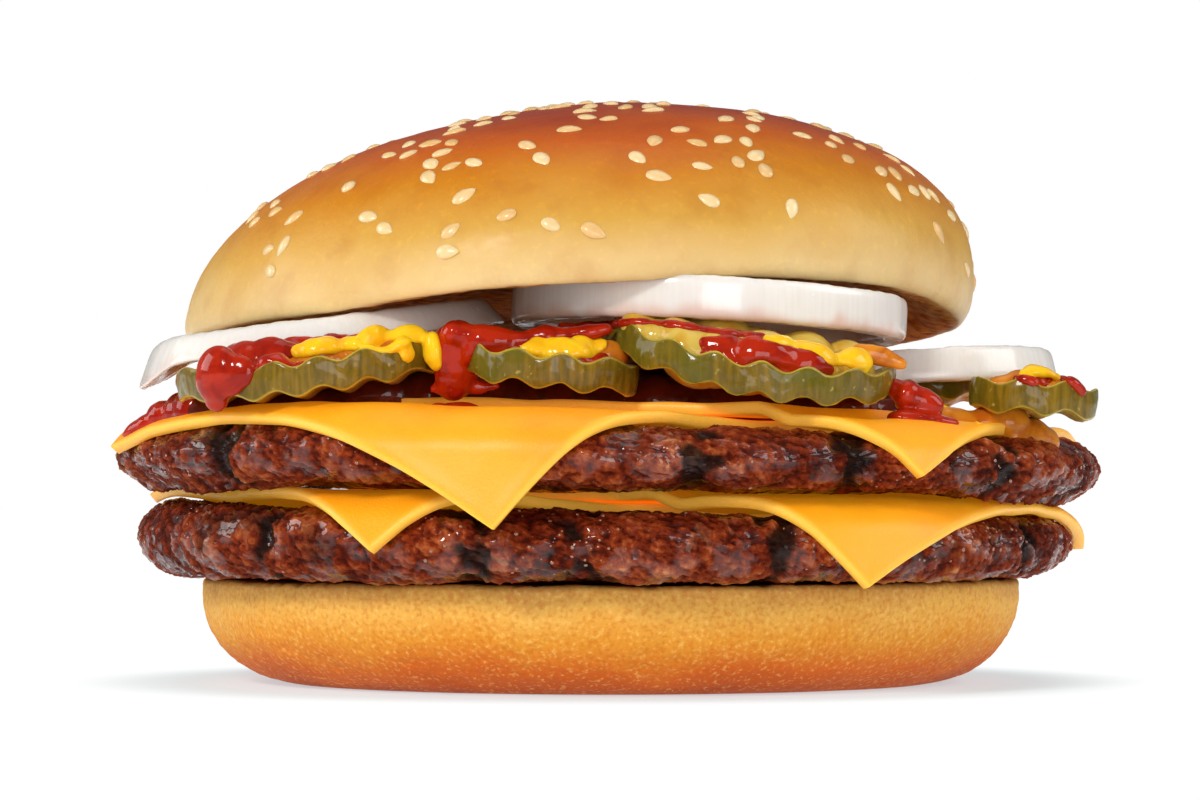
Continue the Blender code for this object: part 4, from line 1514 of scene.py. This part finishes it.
@dataclass(frozen=True)
class SauceRun:
    """Sauce made of strokes that run into each other and cling to the pile."""

    name: str
    strokes: tuple
    nodes: tuple = ()
    cell: float = 0.00026
    unevenness: float = 0.45
    wobble: Noise = Noise(90)

    def _drops(self, pile: Pile) -> list[tuple]:
        """Places, directions and half widths of the drops that make up the strokes."""
        drops = []
        for stroke in self.strokes:
            way = np.array(stroke.way, float) * MM
            width = np.array(stroke.width, float) * MM
            length = np.concatenate(((0.0,), np.cumsum(np.hypot(*np.diff(way, axis=0).T))))
            steps = np.linspace(0.0, length[-1], max(2, int(length[-1] / (width.min() * 0.35)) + 1))
            places = [tuple(float(np.interp(step, length, column)) for column in way.T) for step in steps]
            laid = [self._lay(stroke, place, pile) for place in places]
            last = next((met for met in laid if met), (Vector((0, stroke.front, 0)), Vector((0, -1, 0))))
            for step, (first, second), met in zip(steps, places, laid):
                if met is None and stroke.above:
                    continue
                last = met or (Vector((first, last[0].y, second)), last[1])
                half = float(np.interp(step, length, width))
                half *= 1 + self.unevenness * float(self.wobble.layered(np.array(((first, second, half),)) * 330, 2)[0])
                drops.append((*last, half, stroke.thickness))
        return drops

    @staticmethod
    def _lay(stroke: Stroke, place: tuple, pile: Pile) -> tuple[Vector, Vector] | None:
        """Where a drop of a stroke meets the pile and the direction there, or None over a gap."""
        if stroke.above:
            return pile.meet((*place, 0.2), (0, 0, -1))
        met = pile.meet((place[0], -0.3, place[1]), (0, 1, 0))
        return None if met is None or met[0].y > stroke.behind else met

    def build(self, pile: Pile, finish: bpy.types.Material) -> bpy.types.Object:
        """Makes the sauce as one smooth body.

        Args:
            pile: What it lies on.
            finish: The sauce's material.

        Returns:
            The piece.
        """
        bpy.ops.mesh.primitive_ico_sphere_add(subdivisions=3, radius=1.0)
        ball = bpy.context.object
        flat = np.empty(len(ball.data.vertices) * 3)
        ball.data.vertices.foreach_get("co", flat)
        form = flat.reshape(-1, 3)
        faces = np.array([face.vertices[:] for face in ball.data.polygons])
        bpy.data.objects.remove(ball)
        points, triangles = [], []
        for place, normal, half, thickness in self._drops(pile):
            aim = np.array(normal.to_track_quat("Z", "Y").to_matrix())
            drop = (form * (half, half, half * thickness)) @ aim.T
            triangles.append(faces + len(points) * len(form))
            points.append(drop + np.array(place))
        mesh = bpy.data.meshes.new(self.name)
        mesh.from_pydata(np.vstack(points).tolist(), [], np.vstack(triangles).tolist())
        piece = in_scene(self.name, mesh)
        merge = piece.modifiers.new("One body", "REMESH")
        merge.mode = "VOXEL"
        merge.voxel_size = self.cell * 1.0
        soften = piece.modifiers.new("Surface tension", "SMOOTH")
        soften.factor, soften.iterations = 0.5, 7
        melted = modified_mesh(piece)
        piece.modifiers.clear()
        piece.data = melted
        melted.name = self.name
        melted.materials.clear()
        melted.materials.append(finish)
        melted.shade_smooth()
        return piece


def sauce(node: str, *strokes: Stroke) -> SauceRun:
    """The run that takes the place of a sauce's node."""
    return SauceRun(node + "_run", strokes, (node,))


# ---- the burger's own pieces ----------------------------------------------------------------------
LOWER_PATTY = Patty(
    node="patty_lower",
    radius=0.0693,
    thickness=0.0113,
    shoulder=0.0100,
    foot=0.0070,
    slope_top=-0.0165,
    slope_base=0.0,
    dish_top=-0.0024,
    dish_base=0.0,
    left_fall=0.0,
    phase=0.8,
    scorches=(
        *((-140, 1.0), (-95, 0.9), (-44, 0.9), (-15, 1.0), (-2, 0.8)),
        *((20, 1.0), (63, 1.0), (100, 0.9), (140, 1.0), (178, 0.9)),
    ),
)
UPPER_PATTY = Patty(
    node="patty_upper",
    radius=0.0728,
    thickness=0.0103,
    shoulder=0.0100,
    foot=0.0070,
    slope_top=-0.0280,
    slope_base=-0.0170,
    dish_top=-0.0014,
    dish_base=0.0033,
    left_fall=0.0025,
    phase=2.3,
    scorches=(
        *((-155, 0.9), (-110, 1.0), (-48, 0.9), (10, 1.0), (28, 1.0)),
        *((50, 0.9), (92, 1.0), (130, 0.9), (165, 1.0)),
    ),
)
CHEESE_LOWER_LEFT = CheeseSlice("cheese_lower_left", LOWER_PATTY, (-0.0328, -0.0686), 25, 62, 55, draw=21)
CHEESE_LOWER_RIGHT = CheeseSlice(
    "cheese_lower_right", LOWER_PATTY, (0.0389, -0.0706), 64, 72, 84, under=CHEESE_LOWER_LEFT, draw=22
)
CHEESE_UPPER_LEFT = CheeseSlice("cheese_upper_left", UPPER_PATTY, (-0.0178, -0.0854), 41.3, 80, 50, draw=23)
CHEESE_UPPER_RIGHT = CheeseSlice(
    "cheese_upper_right", UPPER_PATTY, (0.0444, -0.0656), 71.5, 70, 60, under=CHEESE_UPPER_LEFT, draw=24
)
CHIPS = (
    PickleChip("pickle_middle", 0.0118, -3, -6),
    PickleChip("pickle_left", 0.0190, 0, 7.5, bend=4.0),
    PickleChip("pickle_right", 0.0199, -3, -10.2, bend=6.0, phase=0.03),
    PickleChip("pickle_far_right", 0.0088, 1, -4, phase=0.6),
    PickleChip("pickle_inner_left", 0.0110, 1, 2, phase=0.59),
    PickleChip("pickle_inner_right", 0.0110, 3, 2, phase=0.4),
    PickleChip("pickle_back_left", 0.0170, turn=-50),
    PickleChip("pickle_back_right", 0.0175, 7, 0, turn=15),
)
RINGS = (
    OnionRing("onion_right", 0.0216, 0.0050, 3.5, 4.0, flare=0.0008, phase=1.0),
    OnionRing("onion_left", 0.0252, 0.0040, -2, 7.3, flare=0.0030, sag=0.003, stain=0.25),
    OnionRing("onion_front", 0.0286, 0.0060, 2.2, -2.6, phase=2.0, stain=0.45),
)
SAUCE_BED = SauceRun(
    "ketchup_bed_run",
    (
        Stroke(((-61.0, -24.0), (-57.0, -32.0), (-50.0, -36.0)), (2.2, 2.8, 2.8), 0.85, True),
        Stroke(((-50.0, -36.0), (-36.0, -38.0), (-22.0, -38.0), (-4.0, -40.0)), (2.6, 3.6, 3.8, 3.4), 0.95, True),
        Stroke(((-3.0, -37.0), (6.0, -35.0), (16.0, -35.0)), (4.0, 5.0, 4.0), 0.95, True),
        Stroke(((-4.0, -40.0), (14.0, -42.0), (30.0, -40.0), (44.0, -30.0)), (3.4, 3.8, 3.4, 2.6), 0.95, True),
        Stroke(
            ((-44.0, -20.0), (-20.0, -24.0), (6.0, -26.0), (30.0, -22.0), (48.0, -14.0)), (5, 6, 6, 6, 4), 0.75, True
        ),
        Stroke(((-40.0, 4.0), (-12.0, 2.0), (14.0, 2.0), (42.0, 6.0)), (6, 7, 7, 5), 0.6, True),
        Stroke(((-30.0, 26.0), (0.0, 30.0), (28.0, 26.0)), (5, 6, 5), 0.5, True),
    ),
    cell=0.00052,
)
FAR_BED = SauceRun(
    "mixed_sauce_under_run",
    (Stroke(((47.0, -38.0), (52.0, -36.0), (57.0, -34.0), (61.0, -31.0)), (2.0, 2.8, 3.2, 2.4), 0.95, True),),
)
MIXED_SAUCE = SauceRun(
    "mixed_sauce_run",
    (
        Stroke(((-50.0, -49.0), (-40.0, -52.0), (-28.0, -51.0)), (2.4, 2.8, 2.2), 0.8, True),
        Stroke(((-17.0, -53.0), (-8.0, -54.0), (0.0, -53.0)), (2.2, 2.6, 2.2), 0.8, True),
        Stroke(((54.0, -38.5), (62.0, -37.0)), (1.6, 1.8), 0.7, True),
        Stroke(((34.0, 46.8), (37.0, 46.2), (39.6, 45.2)), (1.3, 1.5, 1.0), 0.6),
    ),
)
THIN_MUSTARD = SauceRun(
    "thin_mustard_run",
    (
        Stroke(
            ((4, -53), (12, -57), (20, -58), (27, -57), (34, -51)), (3.0, 3.8, 3.9, 3.6, 2.4), 0.8, True
        ),
        Stroke(((4.0, -48.0), (14.0, -50.0), (24.0, -50.0), (34.0, -46.0)), (3.4, 4.0, 4.0, 3.0), 0.95, True),
    ),
)
KETCHUP_RUNS = (
    sauce(
        "ketchup_left",
        Stroke(((-53.4, 40.6), (-53.5, 42.8), (-52.8, 44.8)), (2.3, 2.9, 3.3), 0.6),
        Stroke(((-52.8, 44.8), (-50.2, 45.6), (-46.5, 46.4), (-43.4, 47.2)), (3.3, 3.0, 2.4, 1.3), 0.6),
        Stroke(((-51.5, 43.6), (-48.0, 44.6)), (2.6, 1.8), 0.5),
        Stroke(((-44.6, 47.6), (-39.3, 48.4), (-33.9, 48.8), (-30.5, 49.2)), (1.1, 0.9, 0.9, 0.8)),
        Stroke(((-58.0, -31.5), (-61.0, -29.0), (-63.5, -27.0)), (2.6, 2.6, 1.9), 1.2, True),
        Stroke(((-63.5, -27.0), (-66.0, -26.0), (-68.5, -24.5)), (2.0, 1.5, 0.9), 0.8, True),
        Stroke(((-55.0, -53.5), (-49.0, -56.0), (-42.0, -57.5)), (2.4, 2.4, 1.4), 0.5, True),
    ),
    sauce(
        "ketchup_middle",
        Stroke(((-21.4, 49.4), (-18.3, 48.6), (-14.9, 48.4), (-11.6, 48.6)), (2.2, 2.4, 1.9, 1.6), 0.8),
        Stroke(((-11.6, 48.6), (-7.5, 49.0), (-2.8, 49.4), (0.0, 50.0)), (1.6, 1.5, 1.4, 0.9), 0.8),
        Stroke(((-20.6, 49.0), (-21.0, 46.6), (-21.0, 44.4), (-21.4, 42.4)), (2.5, 2.9, 2.7, 2.2), 0.8),
        Stroke(((-24.0, 41.8), (-21.0, 41.9), (-18.0, 42.0), (-15.5, 42.2)), (0.6, 1.2, 1.0, 0.6), 0.4),
        Stroke(((-6.8, 50.2), (4.0, 50.9), (9.4, 50.3), (14.9, 49.3), (20.3, 48.8)), (0.8, 0.7, 0.8, 0.8, 0.6)),
        Stroke(((-23.0, -57.0), (-20.0, -54.0), (-15.0, -51.0)), (2.2, 2.6, 2.0), 0.5, True),
        Stroke(((-15.0, -54.0), (-8.0, -55.0), (-2.0, -55.0)), (2.2, 2.4, 2.0), 0.5, True),
    ),
    sauce(
        "ketchup_right",
        Stroke(((12.6, 47.9), (15.5, 47.4), (18.9, 46.9), (22.3, 46.3)), (0.8, 1.4, 2.0, 2.0), 0.5),
        Stroke(((22.3, 46.3), (25.4, 45.5), (27.9, 44.8), (29.5, 44.2)), (2.0, 1.9, 1.4, 0.8), 0.5),
        Stroke(((13.0, -61.0), (18.0, -61.5), (24.0, -60.5), (28.5, -59.0)), (1.0, 1.8, 1.8, 0.9), 0.5, True),
    ),
    sauce(
        "ketchup_on_cheese",
        Stroke(
            ((38.6, 42.2), (40.0, 41.2), (42.2, 40.3), (44.3, 39.4), (46.0, 38.7)), (1.4, 2.0, 2.0, 1.6, 1.0), 0.45
        ),
        Stroke(((40.0, -50.5), (44.0, -50.0), (46.5, -49.0)), (2.0, 2.2, 1.4), 0.5, True),
    ),
    sauce(
        "ketchup_far_right",
        Stroke(((56.3, 43.5), (57.9, 43.1), (59.6, 42.7), (61.0, 43.4)), (0.5, 0.8, 0.9, 0.6)),
        Stroke(((61.0, 43.4), (62.4, 43.7), (64.2, 42.8), (65.3, 41.7)), (0.6, 0.8, 1.2, 0.8)),
        Stroke(((56.0, -37.5), (60.0, -35.5), (64.0, -33.0)), (1.6, 2.0, 1.6), 0.6, True),
    ),
)
MUSTARD_RUNS = (
    sauce(
        "mustard_left",
        Stroke(
            ((-42.6, 46.8), (-41.0, 47.3), (-38.5, 47.7), (-35.9, 47.9), (-33.9, 48.0)), (0.8, 1.4, 1.6, 1.4, 1.0), 0.6
        ),
    ),
    sauce(
        "mustard_middle_left",
        Stroke(((-33.6, 48.4), (-31.2, 48.9), (-28.5, 49.2), (-25.8, 49.3)), (1.1, 1.5, 1.7, 1.6), 0.6),
        Stroke(((-25.8, 49.3), (-24.4, 48.6), (-24.2, 46.9), (-23.8, 45.4)), (1.6, 2.0, 2.2, 1.3), 0.6),
        Stroke(((-33.0, -55.5), (-28.5, -55.0), (-25.5, -54.5)), (1.2, 1.6, 1.4), 0.5, True),
    ),
    sauce(
        "mustard_middle",
        Stroke(((-11.6, 47.2), (-8.8, 47.3), (-6.5, 46.9), (-4.4, 47.1), (-1.6, 47.6)), (1.2, 1.7, 2.1, 1.9, 1.1), 0.5),
    ),
    sauce(
        "mustard_right",
        Stroke(((21.2, 48.3), (24.1, 47.9), (26.8, 47.1), (29.2, 46.1), (30.8, 45.6)), (0.9, 1.3, 1.5, 1.6, 1.2), 0.5),
        Stroke(((30.8, 45.8), (33.3, 45.9), (34.6, 46.0), (34.4, 44.8)), (1.2, 1.6, 1.5, 1.0), 0.5),
    ),
    sauce(
        "mustard_on_cheese",
        Stroke(((46.2, 39.8), (47.6, 39.0), (49.2, 38.1), (50.8, 37.2)), (1.1, 1.5, 1.2, 0.7), 0.3),
    ),
    sauce(
        "mustard_far_right",
        Stroke(((57.6, 44.0), (59.0, 44.5), (60.7, 44.4), (62.1, 43.7)), (0.8, 1.3, 1.3, 0.9)),
    ),
)


# ---- floor, lights and camera ---------------------------------------------------------------------
@dataclass(frozen=True)
class Softbox:
    """A square soft light that faces a point of the burger."""

    name: str
    place: Point
    size: float
    watts: float
    colour: Colour = (1.0, 1.0, 1.0)
    target: Point = (0.0, 0.0, 0.045)

    def place_light(self) -> None:
        """Adds the light to the scene."""
        lamp = bpy.data.lights.new(self.name, "AREA")
        lamp.shape = "SQUARE"
        lamp.size = self.size
        lamp.energy = self.watts
        lamp.color = self.colour
        holder = in_scene(self.name, lamp)
        holder.location = self.place
        aim = Vector(self.target) - Vector(self.place)
        holder.rotation_euler = aim.to_track_quat("-Z", "Y").to_euler()


@dataclass(frozen=True)
class Studio:
    """A plain white floor, a white surrounding, soft lights and the camera."""

    camera_place: Point = (-0.0014, -0.700, 0.0294)
    camera_pitch: float = math.radians(0.9625)
    focal_length: float = 142.86  # millimetres, on a 36 mm wide sensor
    floor_side: float = 8.0
    glow: tuple = (0.060, 0.082)  # distance where the floor starts to glow more, and glows fully
    ambient: float = 0.22
    floor_near: Colour = (0.40, 0.44, 0.46)
    glow_near: Colour = (0.45, 0.49, 0.51)
    lights: tuple = (
        Softbox("key", (-0.40, -0.70, 0.50), 0.17, 4.1, (1.0, 0.97, 0.93)),
        Softbox("front_fill", (0.20, -0.95, 0.16), 0.45, 2.8),
        Softbox("right_fill", (0.75, -0.10, 0.45), 0.45, 2.4),
        Softbox("left_fill", (-0.80, 0.05, 0.35), 0.45, 2.7),
        Softbox("top", (0.05, 0.10, 0.80), 0.50, 0.8),
    )

    def floor(self) -> bpy.types.Object:
        """A white floor, far wider than the burger, that turns brighter away from it."""
        half = self.floor_side / 2
        mesh = bpy.data.meshes.new("floor")
        corners = [(-half, -half, 0.0), (half, -half, 0.0), (half, half, 0.0), (-half, half, 0.0)]
        mesh.from_pydata(corners, [], [(0, 1, 2, 3)])
        graph = Graph("floor")
        across = graph.node("ShaderNodeVectorMath", {"operation": "LENGTH"}, {0: graph.place}).of("Value")
        away = across.between(*self.glow)
        glow = graph.blend(away, self.glow_near, (1.0, 1.0, 1.0))
        sockets = {
            "Base Color": graph.blend(away, self.floor_near, (0.0, 0.0, 0.0)),
            "Roughness": 0.7,
            "Specular IOR Level": 0.1,
            "Emission Color": glow,
            "Emission Strength": 1.0,
        }
        mesh.materials.append(graph.surface(sockets))
        return in_scene("floor", mesh)

    def world(self) -> None:
        """A white surrounding that lights less than it shows."""
        world = bpy.data.worlds.new("studio")
        world.use_nodes = True
        bpy.context.scene.world = world
        tree = world.node_tree
        tree.nodes.clear()
        seen = add_node(tree, "ShaderNodeLightPath").outputs["Is Camera Ray"]
        strength = add_node(tree, "ShaderNodeMapRange", {}, {"Value": seen, "To Min": self.ambient, "To Max": 1.0})
        white = {"Color": (1.0, 1.0, 1.0, 1.0), "Strength": strength.outputs["Result"]}
        background = add_node(tree, "ShaderNodeBackground", {}, white)
        add_node(tree, "ShaderNodeOutputWorld", {}, {"Surface": background.outputs[0]})

    def camera(self) -> None:
        """The camera, level with the patties and tipped up a little."""
        lens = bpy.data.cameras.new("camera")
        lens.sensor_width = 36.0
        lens.lens = self.focal_length
        lens.clip_start = 0.01
        holder = in_scene("camera", lens)
        holder.location = self.camera_place
        holder.rotation_euler = (math.pi / 2 + self.camera_pitch, 0.0, 0.0)
        bpy.context.scene.camera = holder

    def build(self) -> None:
        """Sets up the studio."""
        self.camera()
        self.world()
        for light in self.lights:
            light.place_light()
        self.floor()
        bpy.context.scene.view_settings.view_transform = "Standard"


# ---- assembly -------------------------------------------------------------------------------------
def hand_over(piece: bpy.types.Object, nodes: tuple = ()) -> bpy.types.Object:
    """Makes a finished piece part of the burger.

    Args:
        piece: The piece, in place.
        nodes: CAD nodes that it stands for.

    Returns:
        The same piece.
    """
    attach(piece, "root")
    if nodes:
        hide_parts(*nodes)
    LOG.info("%s: %d faces", piece.name, len(piece.data.polygons))
    return piece


def build_burger() -> None:
    """Builds every piece from the base up."""
    pile = Pile()
    hand_over(Heel().build(HeelCrust().material()), ("heel",))
    meat, juice, cheese = GrilledMeat().material(), Juice().material(), MeltedCheese().material()
    layers = (
        (LOWER_PATTY, 70, (CHEESE_LOWER_LEFT, CHEESE_LOWER_RIGHT)),
        (UPPER_PATTY, 80, (CHEESE_UPPER_LEFT, CHEESE_UPPER_RIGHT)),
    )
    for patty, draw, slices in layers:
        grilled = hand_over(patty.build(meat, pile), (patty.node,))
        pile.add(grilled)
        hand_over(JuiceBeads().build(grilled, patty.node + "_juice", draw, juice))
        for piece in slices:
            pile.add(hand_over(piece.build(cheese), (piece.node,)))
    ketchup, mustard = KETCHUP_FINISH.material(), MUSTARD_FINISH.material()
    mixed = MIXED_SAUCE_FINISH.material()
    # The bed under the chips fills the gaps below them, in ketchup darkened as painted shade.
    hand_over(SAUCE_BED.build(pile, SHADED_KETCHUP_FINISH.material()))
    hand_over(FAR_BED.build(pile, mixed))
    gherkin = Gherkin().material()
    for chip in CHIPS:
        pile.add(hand_over(chip.build(gherkin), (chip.node,)))
    onion = RawOnion().material()
    for ring in RINGS:
        pile.add(hand_over(ring.build(onion), (ring.node,)), upright=True)
    pile.add(hand_over(MIXED_SAUCE.build(pile, mixed)), upright=True)
    pile.add(hand_over(THIN_MUSTARD.build(pile, THIN_MUSTARD_FINISH.material())), upright=True)
    laid = [hand_over(run.build(pile, ketchup), run.nodes) for run in KETCHUP_RUNS]
    for piece in laid:
        pile.add(piece, upright=True)
    for run in MUSTARD_RUNS:
        hand_over(run.build(pile, mustard), run.nodes)
    crown = hand_over(Crown().build(CrownCrust().material()), ("crown",))
    hand_over(SesameSeeds().build(crown, SesameHull().material()))


def main() -> None:
    """Builds the burger and its studio."""
    build_burger()
    Studio().build()


if __name__ == "__main__":
    main()
